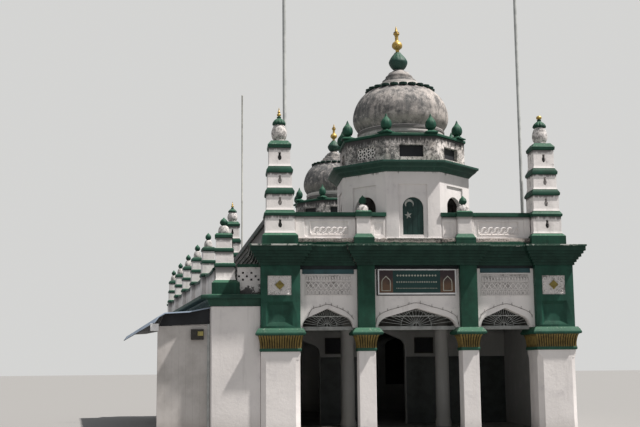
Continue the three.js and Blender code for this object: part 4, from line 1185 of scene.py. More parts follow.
# Board over the middle arch: frame, dark green field with plain ornament in place of any lettering
BOARD = (-0.88, 0.893, 3.222, 3.788)
BOARD_FIELD = (-0.85, 0.865, 3.257, 3.763)
BOARD_SIDES = ((-0.85, -0.539), (0.531, 0.865))


def sign_board():
    form = Form()
    face = facing((0.0, BAY_FRONT, 0.0))
    form.plate(rectangle(*BOARD), [rectangle(*BOARD_FIELD)], face, 0.0, 0.045, 0)
    # Thin black strips along the left and lower edges: painted shadow of the board on the wall
    form.plate(rectangle(BOARD[0] - 0.03, BOARD[0], BOARD[2] - 0.02, BOARD[3]), [], face, 0.0, 0.006, 4)
    form.plate(rectangle(BOARD[0], BOARD[1] - 0.02, BOARD[2] - 0.024, BOARD[2]), [], face, 0.0, 0.006, 4)
    form.plate(rectangle(*BOARD_FIELD), [], face, 0.0, 0.03, 1, back=False)
    for x0, x1 in BOARD_SIDES:
        form.plate(rectangle(x0, x1, *BOARD_FIELD[2:]), [], face, 0.03, 0.033, 2, back=False)
        cx = (x0 + x1) / 2
        outer = pointed_arch(cx, 0.105, 3.47, 0.17, 3.30, 6)
        inner = pointed_arch(cx, 0.088, 3.47, 0.145, 3.315, 6)
        form.plate(outer, [inner], face, 0.033, 0.036, 3, back=False)
    for z, half, pitch in ((3.645, 0.026, 0.066), (3.50, 0.020, 0.052), (3.36, 0.013, 0.036)):
        count = int(0.94 / pitch)
        for i in range(count):
            x = -0.004 + (i - (count - 1) / 2) * pitch
            lozenge = [(x, z - half), (x + half, z), (x, z + half), (x - half, z)]
            form.plate(lozenge, [], face, 0.03, 0.033, 3, back=False)
    piece(form, "board_over_arch", [FRAME_PAINT, FIELD, FIELD_SIDE, SILVER, BLACK_AND_PAINTED_SHADE],
          ("sign_board",), 0.003)


# Towers: tiers with bottle niches, green bands, cement dome, petalled cap and spire
TOWER_PROFILE = ((0.40, 4.31, 1), (0.40, 4.545, 1), (0.34, 4.603, 1), (0.328, 4.606, 0), (0.328, 4.99, 1),
                 (0.352, 5.002, 1), (0.358, 5.05, 1), (0.308, 5.125, 1), (0.298, 5.128, 0), (0.298, 5.484, 1),
                 (0.325, 5.496, 1), (0.331, 5.548, 1), (0.282, 5.632, 1), (0.272, 5.635, 0), (0.272, 5.975, 1),
                 (0.295, 5.987, 1), (0.301, 6.045, 1), (0.25, 6.132, 1), (0.24, 6.135, 0), (0.24, 6.554, 1),
                 (0.262, 6.568, 1), (0.268, 6.635, 1), (0.19, 6.734, 1))
TOWER_DOME = ((0.145, 6.733), (0.145, 6.762), (0.128, 6.772), (0.146, 6.80), (0.164, 6.84), (0.176, 6.895),
              (0.177, 6.94), (0.170, 6.99), (0.152, 7.05), (0.130, 7.10), (0.110, 7.135))
CAP_PROFILE = ((0.10, 7.118), (0.142, 7.128), (0.156, 7.15), (0.155, 7.172), (0.142, 7.20), (0.118, 7.232),
               (0.085, 7.262), (0.055, 7.28), (0.04, 7.288))
BOTTLE_HALF = 0.043
BOTTLE_HEIGHT = 0.19


def bottle(cz, half=BOTTLE_HALF, height=BOTTLE_HEIGHT, steps=8):
    # Outline of a niche: a round belly with a short thick neck above it
    low = cz - height / 2
    neck = half * 0.60
    tall = 1.5 * half
    right = [(half * math.cos(a), low + tall + tall * math.sin(a)) for a in
             (math.radians(-90 + 142 * i / steps) for i in range(steps + 1))]
    side = right + [(neck, low + height * 0.76), (neck * 1.1, low + height * 0.94), (neck * 0.8, low + height)]
    return side + [(-x, z) for x, z in reversed(side) if x > 1e-4]


def tier(form, centre, half, z0, z1, niche_tint, stretch=1.0):
    # One plastered stage with a flared foot and a niche on each side
    flare = [(half + 0.016, z0), (half + 0.006, z0 + 0.025), (half, z0 + 0.06)]
    form.skin([square(h, z, centre) for h, z in flare], 0)
    cz = (z0 + z1) / 2 + 0.02
    hole = bottle(cz)
    for side in range(4):
        place = facing((centre[0], centre[1], 0.0), side * math.pi / 2)
        form.flat(rectangle(-half, half, z0 + 0.06, z1), [hole], lambda u, v: place(u, v, half), 0)
        form.rim(hole, lambda u, v, w: place(u, v, half + w), -0.07, 0.0, 0, True)
        form.flat(hole, [], lambda u, v: place(u, v, half - 0.07), niche_tint)


def petalled(count, depth):
    return lambda t, z: 1 - depth + depth * abs(math.sin(count * t / 2)) ** 0.6


def spire(form, x, y, base, whole):
    low = [(0.034, base), (0.05, base + 0.016), (0.05, base + 0.036), (0.028, base + 0.05)]
    lathe(form, low, (x, y), 16, 1)
    if whole:
        ball = [(0.022, 0.05), (0.04, 0.062), (0.049, 0.085), (0.042, 0.108), (0.022, 0.122), (0.019, 0.13),
                (0.033, 0.143), (0.033, 0.158), (0.018, 0.172), (0.013, 0.20), (0.006, 0.245), (0.001, 0.262)]
    else:
        ball = [(0.03, 0.045), (0.056, 0.062), (0.066, 0.09), (0.058, 0.118), (0.036, 0.134), (0.026, 0.138)]
    lathe(form, [(r, base + z) for r, z in ball], (x, y), 20, 4)


TOWER_FINISHES = [TOWER_PLASTER, GREEN, TOWER_CEMENT, NICHE, GOLD, NICHE_GREY]


def crowned(form, centre, cap_base, lift, whole):
    dome = [(r, lift(z)) for r, z in eased(TOWER_DOME, 2)]
    lathe(form, dome, centre, 40, 2)
    cap = [(r, lift(z)) for r, z in eased(CAP_PROFILE, 2)]
    lathe(form, cap, centre, 60, 1, petalled(10, 0.11))
    spire(form, centre[0], centre[1], lift(cap_base), whole)


def tower(node, centre, whole=True, tall=1.0):
    form = Form()
    lift = lambda z: z if z < 6.733 else 6.733 + (z - 6.733) * tall
    tiers = 0
    for (h0, z0, _), (h1, z1, tint) in zip(TOWER_PROFILE, TOWER_PROFILE[1:]):
        if h0 == h1 and z1 - z0 > 0.3 and z0 > 4.6:
            # Niche floors are painted shade: near black in the first and fourth tiers, mid grey in the second and
            # third
            tier(form, centre, h0, z0, z1, 3 if tiers in (0, 3) else 5)
            tiers += 1
        else:
            form.skin([square(h0, z0, centre), square(h1, z1, centre)], 1)
    form.add(square(0.19, 6.734, centre), 1)
    crowned(form, centre, 7.284, lift, whole)
    piece(form, node + "_dressed", TOWER_FINISHES, (node,), 0.005)


def towers():
    tower("front_left_tower", (-TOWER_X, 0.0))
    tower("front_right_tower", (TOWER_X, 0.0), whole=False)
    tower("rear_left_tower", REAR_TOWER, tall=0.86)
    tower("rear_right_tower", (TOWER_X, REAR_TOWER[1]), tall=0.86)


# Front parapet: coping, posts and little domes from the solids, with framed relief panels on its face
PARAPET_FACE = -0.10
PARAPET_FRAMES = {
    "left": {"wall": (-2.70, -1.335), "outer": (-2.491, -1.41, 4.538, 4.965), "inner": (-2.363, -1.507, 4.60, 4.90),
             "waves": (-2.275, -1.605), "small_wall": (-0.985, -0.66), "small": (-0.90, -0.70, 4.59, 4.884)},
    "right": {"wall": (1.335, 2.70), "outer": (1.40, 2.56, 4.538, 4.965), "inner": (1.49, 2.43, 4.60, 4.90),
              "waves": (1.577, 2.321), "small_wall": (0.66, 0.985), "small": (0.70, 0.90, 4.59, 4.884)},
}


def low_rounded(x0, x1, z0, z1, r, steps=5):
    turns = [math.radians(90 * i / steps) for i in range(steps + 1)]
    left = [(x0 + r - r * math.cos(t), z0 + r - r * math.sin(t)) for t in turns]
    right = [(x1 - r + r * math.sin(t), z0 + r - r * math.cos(t)) for t in turns]
    return left + right + [(x1, z1), (x0, z1)]


def wave_ridge(form, face, spine):
    # One wave of the relief: thick at its middle, thin at both ends
    last = len(spine) - 1
    rows = []
    for k, (u, v) in enumerate(spine):
        (ax, az), (bx, bz) = spine[max(k - 1, 0)], spine[min(k + 1, last)]
        along = math.hypot(bx - ax, bz - az)
        nx, nz = -(bz - az) / along, (bx - ax) / along
        half = 0.010 + 0.022 * math.sin(math.pi * k / last)
        rows.append([face(u + nx * half * c, v + nz * half * c, lift)
                     for c, lift in ((1.0, 0.0), (0.75, 0.022), (0.1, 0.032), (-0.75, 0.022), (-1.0, 0.0))])
    for a, b in zip(rows, rows[1:]):
        for i in range(4):
            form.add((a[i], a[i + 1], b[i + 1], b[i]))
    form.add(rows[0])
    form.add(reversed(rows[-1]))


def parapet_relief(side):
    sizes = PARAPET_FRAMES[side]
    face = facing((0.0, PARAPET_FACE, 0.0))
    form = Form()
    outer, inner = low_rounded(*sizes["outer"], 0.07), low_rounded(*sizes["inner"], 0.05)
    form.plate(rectangle(*sizes["wall"], 4.505, 5.005), [outer], face, 0.0, 0.036, 0, back=False)
    form.plate(rectangle(*sizes["outer"]), [inner], face, 0.0, 0.018, 0, back=False)
    form.plate(rectangle(*sizes["small_wall"], 4.505, 5.005), [rectangle(*sizes["small"])], face, 0.0, 0.02, 0,
               back=False)
    first, last = sizes["waves"]
    for i in range(6):
        x = first + (last - first) * i / 5
        spine = eased([(x - 0.070, 4.622), (x - 0.022, 4.652), (x + 0.008, 4.712), (x + 0.052, 4.752),
                       (x + 0.108, 4.742)], 3)
        wave_ridge(form, face, spine)
    piece(form, side + "_parapet_relief", [PARAPET_PLASTER], (), 0.007)
    bead = [face(u, v, 0.020) for u, v in inner]
    tubes(side + "_parapet_bead", [bead + bead[:1]], 0.012, PARAPET_PLASTER, 6)


def parapet_tint(spot, normal):
    # plaster, green paint, cement of the little domes
    post = abs(abs(spot.x) - 1.16) < 0.24 and spot.y < 0.2
    if post:
        if spot.z < 4.562:
            return 1 if spot.y < -0.12 or spot.z > 4.51 else 0
        if 5.133 < spot.z < 5.29:
            return 2
        if spot.z > 5.285:
            return 1
    return 1 if spot.z > (RAIL_BOTTOM if post else FRONT_COPING) - 0.002 else 0


def coping_tint(spot, normal):
    if spot.z > RAIL_BOTTOM - 0.002:
        return 1
    return 2 if normal.z > 0.5 else 0


def drum_foot_ledge():
    # White ledge, stained cement and green paint at the foot of the drum
    form = Form()
    form.box((-0.66, -0.136, 4.312), (0.66, -0.127, 4.505))
    form.box((-0.66, -0.145, 4.505), (0.66, -0.127, 4.528))
    piece(form, "drum_foot_ledge", [LEDGE_PLASTER], (), 0.003)


def post_feet():
    form = Form()
    for x in (-1.16, 1.16):
        collar = [(0.2325, 4.47), (0.2325, 4.515), (0.228, 4.52), (0.172, 4.602), (0.165, 4.604)]
        stack(form, [square(half, z, (x, -0.08)) for half, z in collar], 0, 0, 0)
    piece(form, "coping_post_feet", [GREEN], (), 0.004)


def parapets():
    finishes = [LEDGE_PLASTER, GREEN, TOWER_CEMENT]
    drum_foot_ledge()
    post_feet()
    for side in PARAPET_FRAMES:
        dressed(f"front_{side}_parapet", finishes, parapet_tint, 0.006)
        parapet_relief(side)
    for node in ("left_parapet", "right_parapet", "rear_parapet"):
        plaster = STREET_PLASTER if node == "left_parapet" else SIDE_PLASTER
        dressed(node, [plaster, SIDE_COPING, ROOF_CONCRETE], coping_tint, 0.007)


# Both domes are one design: sizes of the large one, scaled and lifted for the rear one
class Dome:
    def __init__(self, name, centre, scale, lift, lean):
        self.name = name
        self.centre = centre
        self.scale = scale
        self.lift = lift
        self.lean = lean

    def face(self, turn, out):
        place = facing((*self.centre, 0.0), turn * EIGHTH)
        return lambda u, v, w=0.0: place(u * self.scale, self.lift(v), (out + w) * self.scale)

    def profile(self, points):
        return [(r * self.scale, self.lift(z)) for r, z in points]

    def ring(self, apothem, z):
        return octagon(apothem * self.scale, self.lift(z), self.centre)

    def leant(self, form, foot):
        for points, _ in form.faces:
            for q in points:
                q.x -= self.lean * max(q.z - self.lift(foot), 0.0)


def rear_height(z):
    low = ROOF + 1.039 * (min(z, 6.985) - ROOF)
    mid = 0.967 * max(min(z, 8.36) - 6.985, 0.0)
    return low + mid + 0.856 * max(z - 8.36, 0.0)


DOMES = (Dome("main", (0.0, DRUM_Y), 1.0, lambda z: z, MAIN_LEAN),
         Dome("rear", REAR_DOME, REAR_SCALE, rear_height, REAR_LEAN))
HALF_EIGHTH = math.tan(EIGHTH / 2)
PANEL_HALF = 0.33
PANEL_TOP = 5.765
DOOR_HALF = 0.24
ARCH_HALF = 0.30
ARCH_SPRING = 5.226
DRUM_WALL = 0.13
DOOR_SILL = 4.56
OPEN_SILL = 4.45
SLOT = (-0.282, 0.282, 6.42, 6.70)
SLOT_FACE = 7


def drum(dome):
    form = Form()
    for turn in range(8):
        sill = DOOR_SILL if turn == 0 and dome.name == "main" else OPEN_SILL
        panel = rectangle(-PANEL_HALF, PANEL_HALF, sill - 0.03, PANEL_TOP)
        arch = round_arch(ARCH_HALF if turn else DOOR_HALF, sill, ARCH_SPRING)
        face = dome.face(turn, DRUM_APOTHEM)
        half, inner = DRUM_APOTHEM * HALF_EIGHTH, (DRUM_APOTHEM - DRUM_WALL) * HALF_EIGHTH
        form.flat(rectangle(-half, half, ROOF, DRUM_TOP), [panel], face, 0)
        form.rim(panel, face, -0.035, 0.0, 0, True)
        form.flat(panel, [arch], lambda u, v: face(u, v, -0.035), 0)
        form.rim(arch, face, -DRUM_WALL, -0.035, 0, True)
        form.flat(rectangle(-inner, inner, ROOF, DRUM_TOP), [arch], lambda u, v: face(u, v, -DRUM_WALL), 1, True)
    piece(form, dome.name + "_drum_faces", [DRUM_PLASTER, SHADE_PLASTER],
          (dome.name + "_drum", dome.name + "_drum_head"), 0.008)


def upper_drum(dome):
    form = Form()
    slot = rectangle(*SLOT)
    render = MAIN_RENDER if dome.name == "main" else REAR_RENDER
    for turn in range(8):
        face = dome.face(turn, UPPER_APOTHEM)
        half, inner = UPPER_APOTHEM * HALF_EIGHTH, (UPPER_APOTHEM - 0.11) * HALF_EIGHTH
        form.flat(rectangle(-half, half, 6.285, 6.905), [slot], face, 0)
        form.rim(slot, face, -0.11, 0.0, 0, True)
        # Inner faces painted near black: painted shade inside the parapet
        form.flat(rectangle(-inner, inner, 6.285, 6.905), [slot], lambda u, v: face(u, v, -0.11), 1, True)
    piece(form, dome.name + "_drum_parapet_faces", [render, BLACK_AND_PAINTED_SHADE],
          (dome.name + "_drum_parapet",), 0.008)
    # Black boards behind the slots: painted shade
    boards = Form()
    for turn in range(8):
        face = dome.face(turn, UPPER_APOTHEM)
        boards.plate(rectangle(*SLOT), [], face, -0.108, -0.085, 0)
    piece(boards, dome.name + "_slot_boards", [BLACK_AND_PAINTED_SHADE])


def slot_lattice(dome):
    # Pierced screen: six petal holes round each point of a triangular net, built from diamonds with a hole each
    x0, x1, z0, z1 = SLOT
    face = dome.face(SLOT_FACE, UPPER_APOTHEM)
    step, mid = 0.14, (z0 + z1) / 2
    screen = Form()
    for column in range(-3, 4):
        for row in range(-2, 3):
            cx = column * step * math.cos(math.pi / 6)
            cz = mid + (row + (column % 2) / 2) * step
            for turn in (30, 90, 150):
                t = math.radians(turn)
                ux, uz = math.cos(t), math.sin(t)
                mx, mz = cx + ux * step / 2, cz + uz * step / 2
                if not (x0 - 0.02 < mx < x1 + 0.02 and z0 - 0.02 < mz < z1 + 0.02):
                    continue
                across = step / (2 * math.sqrt(3))
                spot = lambda along, side: (mx + ux * along - uz * side, mz + uz * along + ux * side)
                diamond = [spot(-step / 2, 0), spot(0, -across), spot(step / 2, 0), spot(0, across)]
                around = [2 * math.pi * i / 12 for i in range(12)]
                petal = [spot(0.040 * math.cos(w), 0.0235 * math.sin(w)) for w in around]
                screen.plate(diamond, [petal], face, -0.055, -0.03, 0)
    piece(screen, dome.name + "_slot_screen", [LATTICE_PLASTER], (), 0.0, 20.0)


ONION = ((0.045, 7.055), (0.066, 7.068), (0.106, 7.098), (0.127, 7.145), (0.130, 7.195), (0.120, 7.245),
         (0.098, 7.288), (0.070, 7.322), (0.046, 7.352), (0.032, 7.378), (0.024, 7.402), (0.016, 7.424),
         (0.009, 7.440), (0.003, 7.449))
ONION_STEPS = ((0.15, 6.975), (0.15, 7.005), (0.125, 7.012), (0.10, 7.028), (0.095, 7.03), (0.082, 7.035),
               (0.075, 7.058), (0.05, 7.062))
ONION_SLIDES = {0: 0.095, 1: 0.195}


def onion_ribs(dome):
    # Eight faint lobes that fade out towards the tip
    low, high = dome.lift(7.10), dome.lift(7.34)
    return lambda t, z: 1 - 0.045 * abs(math.cos(4 * t)) ** 4 * (1.0 if low < z < high else 0.0)


def coping(dome):
    form = Form()
    edge = ((1.40, 6.905), (1.452, 6.908), (1.465, 6.918), (1.465, 6.962), (1.452, 6.976), (1.33, 6.985),
            (1.285, 6.985), (1.285, 6.905), (1.40, 6.905))
    form.skin([dome.ring(apothem, z) for apothem, z in edge], 0)
    for turn in range(8):
        across = 1.375 * HALF_EIGHTH - ONION_SLIDES.get(turn, 0.0) * (dome.name == "main")
        seat = dome.face(turn, 1.375)(across, 0.0)
        centre = (seat.x, seat.y)
        onion = dome.profile(eased(ONION, 2))
        lathe(form, onion, centre, 48, 0, onion_ribs(dome))
        steps = Form()
        stack(steps, [square(half, z) for half, z in dome.profile(ONION_STEPS)], 0, 0, 0)
        spin = Matrix.Translation((*centre, 0.0)) @ Matrix.Rotation(turn * EIGHTH, 4, "Z")
        form.take(steps, lambda q: spin @ q)
    piece(form, dome.name + "_coping_and_onions", [ONION_GREEN], (dome.name + "_drum_coping",), 0.005)


DOME_FOOT = ((1.01, 6.285), (1.01, 7.085), (1.05, 7.092), (1.062, 7.11), (1.062, 7.15), (1.045, 7.165),
             (1.045, 7.20), (1.062, 7.215), (1.062, 7.255), (1.045, 7.275), (1.035, 7.29))
DOME_SHELL = ((1.035, 7.29), (1.075, 7.36), (1.125, 7.44), (1.155, 7.53), (1.164, 7.62), (1.152, 7.74),
              (1.105, 7.90), (1.035, 8.04), (0.935, 8.17), (0.80, 8.285), (0.71, 8.335), (0.60, 8.36), (0.0, 8.36))
DOME_HOLLOW = ((0.0, 8.24), (0.62, 8.18), (0.95, 7.95), (1.04, 7.65), (0.95, 7.3), (0.93, 6.285))


def uneven(t, z):
    # Trowelled by hand: no true circle
    return 1 + 0.0035 * math.sin(3 * t + 2 * z) + 0.0025 * math.sin(7 * t - 5 * z)


def dome_shell(dome):
    form = Form()
    cement = MAIN_CEMENT if dome.name == "main" else REAR_CEMENT
    lathe(form, dome.profile(DOME_FOOT), dome.centre, 112, 1, close=False)
    lathe(form, dome.profile(eased(DOME_SHELL, 4)), dome.centre, 112, 0, uneven, close=False)
    lathe(form, dome.profile(eased(DOME_HOLLOW, 3)), dome.centre, 64, 2, close=False)
    piece(form, dome.name + "_dome_shell", [cement, DOME_BASE, SHADE_PLASTER],
          (dome.name + "_dome",))


def leaf(dome):
    # One blunt leaf that curls outward and down from its foot at x = 0, ribbed along the middle
    s = dome.scale
    form = Form()
    rows = []
    for x, half, z in ((-0.03, 0.080, 0.070), (0.03, 0.098, 0.084), (0.075, 0.094, 0.090), (0.110, 0.066, 0.086),
                       (0.135, 0.030, 0.078)):
        rows.append([Vector((x * s, y * half * s, z + lift)) for y, lift in
                     ((-1.0, 0.0), (-0.5, 0.006), (-0.12, 0.002), (0.0, 0.014), (0.12, 0.002), (0.5, 0.006), (1.0, 0.0))])
    under = [[q - Vector((0.012, 0.0, 0.060 * s)) for q in row] for row in rows]
    for a, b in zip(rows, rows[1:]):
        for i in range(6):
            form.add((a[i], b[i], b[i + 1], a[i + 1]))
    for a, b in zip(under, under[1:]):
        for i in range(6):
            form.add((a[i + 1], b[i + 1], b[i], a[i]))
    for a, b, c, d in zip(rows, rows[1:], under, under[1:]):
        form.add((a[0], c[0], d[0], b[0]))
        form.add((b[6], d[6], c[6], a[6]))
    for top, low, flip in ((rows[0], under[0], True), (rows[-1], under[-1], False)):
        for i in range(6):
            quad = (top[i], low[i], low[i + 1], top[i + 1])
            form.add(tuple(reversed(quad)) if flip else quad)
    return seed(form, dome.name + "_leaf")


def leaf_ring(dome):
    z = dome.lift(8.272)
    form = leaf(dome)
    ring = grown("ring", None, Form=form, Count=22, Radius=0.72 * dome.scale, Start=0.08, Finish=LEAF_GREEN)
    band = Form()
    profile = ((0.69, 0.0), (0.755, 0.004), (0.765, 0.03), (0.73, 0.056), (0.69, 0.06))
    band.skin([circle(r * dome.scale, h) for r, h in profile], 0)
    joined = merged(dome.name + "_leaves", [ring, mesh_of(band, "leaf_band")])
    joined.materials.clear()
    shifted(joined, *dome.centre, z)
    settle(joined, dome.name + "_leaves", [LEAF_GREEN], (dome.name + "_leaf_ring",), 0.004, 50.0)


CAP_RINGS = ((0.66, 8.345), (0.655, 8.37), (0.62, 8.378), (0.60, 8.398), (0.565, 8.405), (0.545, 8.44),
             (0.515, 8.448), (0.505, 8.492), (0.465, 8.50), (0.445, 8.535), (0.425, 8.54), (0.418, 8.585),
             (0.375, 8.595), (0.355, 8.64), (0.335, 8.648), (0.33, 8.695), (0.29, 8.703), (0.278, 8.745),
             (0.262, 8.752), (0.25, 8.785), (0.205, 8.80), (0.165, 8.835), (0.118, 8.86), (0.115, 8.885))
CROWN_ONION = ((0.10, 8.87), (0.13, 8.885), (0.175, 8.93), (0.212, 8.995), (0.232, 9.06), (0.218, 9.115),
               (0.181, 9.18), (0.134, 9.24), (0.094, 9.285), (0.075, 9.315), (0.05, 9.322))
SPIRE = ((0.055, 9.315), (0.048, 9.33), (0.044, 9.375), (0.056, 9.392), (0.078, 9.41), (0.105, 9.43), (0.126, 9.465), (0.130, 9.505),
         (0.118, 9.545), (0.092, 9.58), (0.058, 9.606), (0.044, 9.63), (0.042, 9.70), (0.048, 9.745), (0.055, 9.765),
         (0.076, 9.785), (0.077, 9.808), (0.06, 9.822), (0.045, 9.838), (0.04, 9.86), (0.026, 9.91), (0.012, 9.965),
         (0.002, 9.998))


def crown(dome):
    form = Form()
    lathe(form, dome.profile(CAP_RINGS), dome.centre, 72, 0, uneven)
    fluting = lambda t, z: 1 - 0.05 * abs(math.cos(6 * t)) ** 3 * min(1.0, max(0.0, (z - dome.lift(9.06)) / 0.12))
    lathe(form, dome.profile(eased(CROWN_ONION, 3)), dome.centre, 72, 1, fluting)
    lathe(form, dome.profile(eased(SPIRE, 2)), dome.centre, 32, 2)
    collar = dome.profile(((0.047, 9.82), (0.072, 9.835), (0.047, 9.85)))
    lathe(form, collar, dome.centre, 24, 3)
    dome.leant(form, 8.36)
    cement = MAIN_CAP if dome.name == "main" else REAR_CEMENT
    piece(form, dome.name + "_cap_onion_spire", [cement, CROWN_GREEN, GOLD, RUST_GOLD],
          (dome.name + "_crown",), 0.0, 40.0)


def drum_door():
    face = DOMES[0].face(0, DRUM_APOTHEM)
    leaf_shape = round_arch(DOOR_HALF - 0.001, DOOR_SILL + 0.001, ARCH_SPRING)
    form = Form()
    form.plate(leaf_shape, [], face, -0.105, -0.065, 0)
    lines = [[face(x, DOOR_SILL + 0.01, -0.064), face(x, 5.42, -0.064)] for x in (-0.12, 0.0, 0.12)]
    cx, cz, outer, inner = -0.082, 5.315, 0.104, 0.078
    turns = [math.radians(-38 + 256 * i / 20) for i in range(21)]
    moon = [(cx + outer * math.cos(t), cz + outer * math.sin(t)) for t in turns]
    hollow = [math.radians(-20 + 220 * i / 20) for i in range(21)]
    moon += [(cx + 0.004 + inner * math.cos(t), cz - 0.026 + inner * math.sin(t)) for t in reversed(hollow)]
    form.plate(moon, [], face, -0.065, -0.059, 1, back=False)
    star = []
    for i in range(10):
        reach = 0.088 if i % 2 == 0 else 0.036
        t = math.radians(100 + 36 * i)
        star.append((-0.108 + reach * math.cos(t), 5.05 + reach * math.sin(t)))
    form.plate(star, [], face, -0.065, -0.059, 1, back=False)
    form.plate(rectangle(-DOOR_HALF, DOOR_HALF, DOOR_SILL, DOOR_SILL + 0.04), [], face, -DRUM_WALL, -0.036, 2)
    piece(form, "drum_door_leaf", [DOOR, EMBLEM, DRUM_PLASTER], ("main_drum_door",), 0.003)
    tubes("drum_door_ribs", lines, 0.006, DOOR, 4)


def domes():
    for dome in DOMES:
        drum(dome)
        cornice = dome.name + "_drum_cornice"
        dressed(cornice, [DRUM_GREEN], None, 0.005)
        upper_drum(dome)
        coping(dome)
        dome_shell(dome)
        leaf_ring(dome)
        crown(dome)
    slot_lattice(DOMES[0])
    drum_door()


# Low wing on the left: cornice, corner turret, row of side turrets with swags, pierced front parapet
TURRET_CENTRE = (-4.25, -0.04)
TURRET_PROFILE = ((0.31, 3.24), (0.31, 3.50), (0.232, 3.56), (0.225, 3.563), (0.212, 3.61), (0.212, 3.846),
                  (0.24, 3.862), (0.24, 3.905), (0.212, 3.942), (0.198, 3.945), (0.198, 4.188), (0.218, 4.203),
                  (0.218, 4.245), (0.196, 4.278), (0.178, 4.281), (0.178, 4.501), (0.20, 4.517), (0.20, 4.572),
                  (0.165, 4.612))
TURRET_TINTS = (1, 1, 1, 0, 0, 1, 1, 1, 1, 0, 1, 1, 1, 1, 0, 1, 1, 1)
TURRET_DOME = ((0.112, 4.611), (0.122, 4.625), (0.127, 4.665), (0.121, 4.71), (0.102, 4.76), (0.072, 4.79),
               (0.040, 4.80))
TURRET_ONION = ((0.036, 4.795), (0.062, 4.815), (0.086, 4.845), (0.090, 4.875), (0.078, 4.91), (0.052, 4.94),
                (0.026, 4.96), (0.016, 4.975), (0.003, 4.985))
HOLE = 0.023
HOLE_ROWS = ((3.724, (-3.874, -3.684)), (3.648, (-3.962, -3.786, -3.593)), (3.573, (-3.874, -3.686, -3.525)))


def turret(form, profile, tints, size=1.0, height=1.0):
    lift = lambda z: 3.33 + (z - 3.33) * height
    rings = [square(half * size, lift(z)) for half, z in profile]
    stack(form, rings, tints, tints[0], 1)
    for points, count, tint in ((TURRET_DOME, 32, 2), (TURRET_ONION, 24, 1)):
        lathe(form, [(r * size, lift(z)) for r, z in eased(points, 2)], (0.0, 0.0), count, tint)


def corner_turret():
    form = Form()
    upright = Form()
    turret(upright, TURRET_PROFILE, TURRET_TINTS)
    x, y = TURRET_CENTRE
    lean = lambda z: 0.05 * min(1.0, max(0.0, (z - 3.45) / 0.9))
    form.take(upright, lambda q: Vector((q.x + x - lean(q.z), q.y + y, q.z)))
    piece(form, "corner_turret_dressed", [TURRET_PLASTER, GREEN, TURRET_CEMENT],
          ("corner_turret",), 0.005)


def pierced_parapet():
    form = Form()
    face = facing((0.0, -0.05, 0.0))
    left, low, high = -3.995, WING_TOP - 0.01, 3.85
    floor = low
    for z, row in sorted(HOLE_ROWS):
        form.plate(rectangle(left, LEFT, floor, z - HOLE), [], face, 0.0, 0.15, 0)
        edges = [left, *(x + s * HOLE for x in row for s in (-1, 1)), LEFT]
        for x0, x1 in zip(edges[::2], edges[1::2]):
            form.plate(rectangle(x0, x1, z - HOLE, z + HOLE), [], face, 0.0, 0.15, 0)
        floor = z + HOLE
    form.plate(rectangle(left, LEFT, floor, high), [], face, 0.0, 0.15, 0)
    # A black sheet behind the holes: painted shade
    form.plate(rectangle(left, LEFT, low + 0.01, high - 0.01), [], face, 0.03, 0.031, 2, back=False)
    form.box((left, -0.24, high), (LEFT, -0.01, 3.915), 1)
    piece(form, "pierced_parapet_wall", [PIERCED_PLASTER, GREEN, BLACK_AND_PAINTED_SHADE], ("wing_front_parapet",),
          0.005)


# Side parapet: five smaller turrets joined by low walls whose coping sags a little between them
SIDE_TURRETS = (2.2, 4.7, 7.2, 9.7, 12.2)
SIDE_LINE = Matrix.Translation((-4.3945, 0.0, 0.0)) @ Matrix.Rotation(math.atan(0.1305), 4, "Z")


def sagging_bay(form, start, end):
    steps = 10
    sag = [(start + (end - start) * i / steps, 0.055 * 4 * (i / steps) * (1 - i / steps)) for i in range(steps + 1)]
    courses = ((0.075, WING_TOP - 0.01, 3.835, 0), (0.108, 3.828, 3.892, 1))
    for half, low, high, tint in courses:
        for (ya, da), (yb, db) in zip(sag, sag[1:]):
            fa, fb = (low, low) if tint == 0 else (low - da, low - db)
            a = [(-half, ya, fa), (half, ya, fa), (half, ya, high - da), (-half, ya, high - da)]
            b = [(-half, yb, fb), (half, yb, fb), (half, yb, high - db), (-half, yb, high - db)]
            for k in range(4):
                form.add((a[k], b[k], b[(k + 1) % 4], a[(k + 1) % 4]), tint)
        for y, flip in ((start, False), (end, True)):
            cap = [(-half, y, low), (half, y, low), (half, y, high), (-half, y, high)]
            form.add(reversed(cap) if flip else cap, tint)


def side_parapet():
    form = Form()
    along = Form()
    profile = ((0.200, WING_TOP - 0.01), (0.212, 3.34)) + TURRET_PROFILE[5:]
    tints = (0, *TURRET_TINTS[4:])
    for y in SIDE_TURRETS:
        upright = Form()
        turret(upright, profile, tints, 0.8, 0.96)
        along.take(upright, lambda q: q + Vector((0.0, y, 0.0)))
    stops = (0.32, *SIDE_TURRETS, BACK - 0.06)
    for i in range(len(stops) - 1):
        sagging_bay(along, stops[i] + (0.15 if i else 0.0), stops[i + 1] - (0.15 if i < 5 else 0.0))
    form.take(along, lambda q: SIDE_LINE @ q)
    piece(form, "wing_side_parapet_dressed", [TURRET_PLASTER, GREEN, TURRET_CEMENT],
          ("wing_side_parapet",), 0.004)


# Roof of the wing: a deep fascia over a hollow moulding, the roof slab behind it
WING_EAVES = ((0.03, 2.975), (0.05, 3.03), (0.056, 3.035), (0.075, 3.08), (0.082, 3.085), (0.10, 3.128),
              (0.238, 3.135), (0.25, 3.145), (0.25, 3.19), (0.245, 3.197), (0.245, 3.212), (0.238, WING_EAVE),
              (0.0, WING_TOP))


def wing_plan(d, z):
    side = lambda y: WING_LEFT - WING_SKEW * (y - WING_FRONT) - d
    inner = LEFT - SKEW * BACK - 0.01
    front = WING_FRONT - 0.52 * d
    return [(side(front), front, z), (LEFT, front, z), (LEFT, PIER_BACK, z), (LEFT - 0.01, PIER_BACK, z),
            (inner, BACK + d, z), (side(BACK + d), BACK + d, z)]


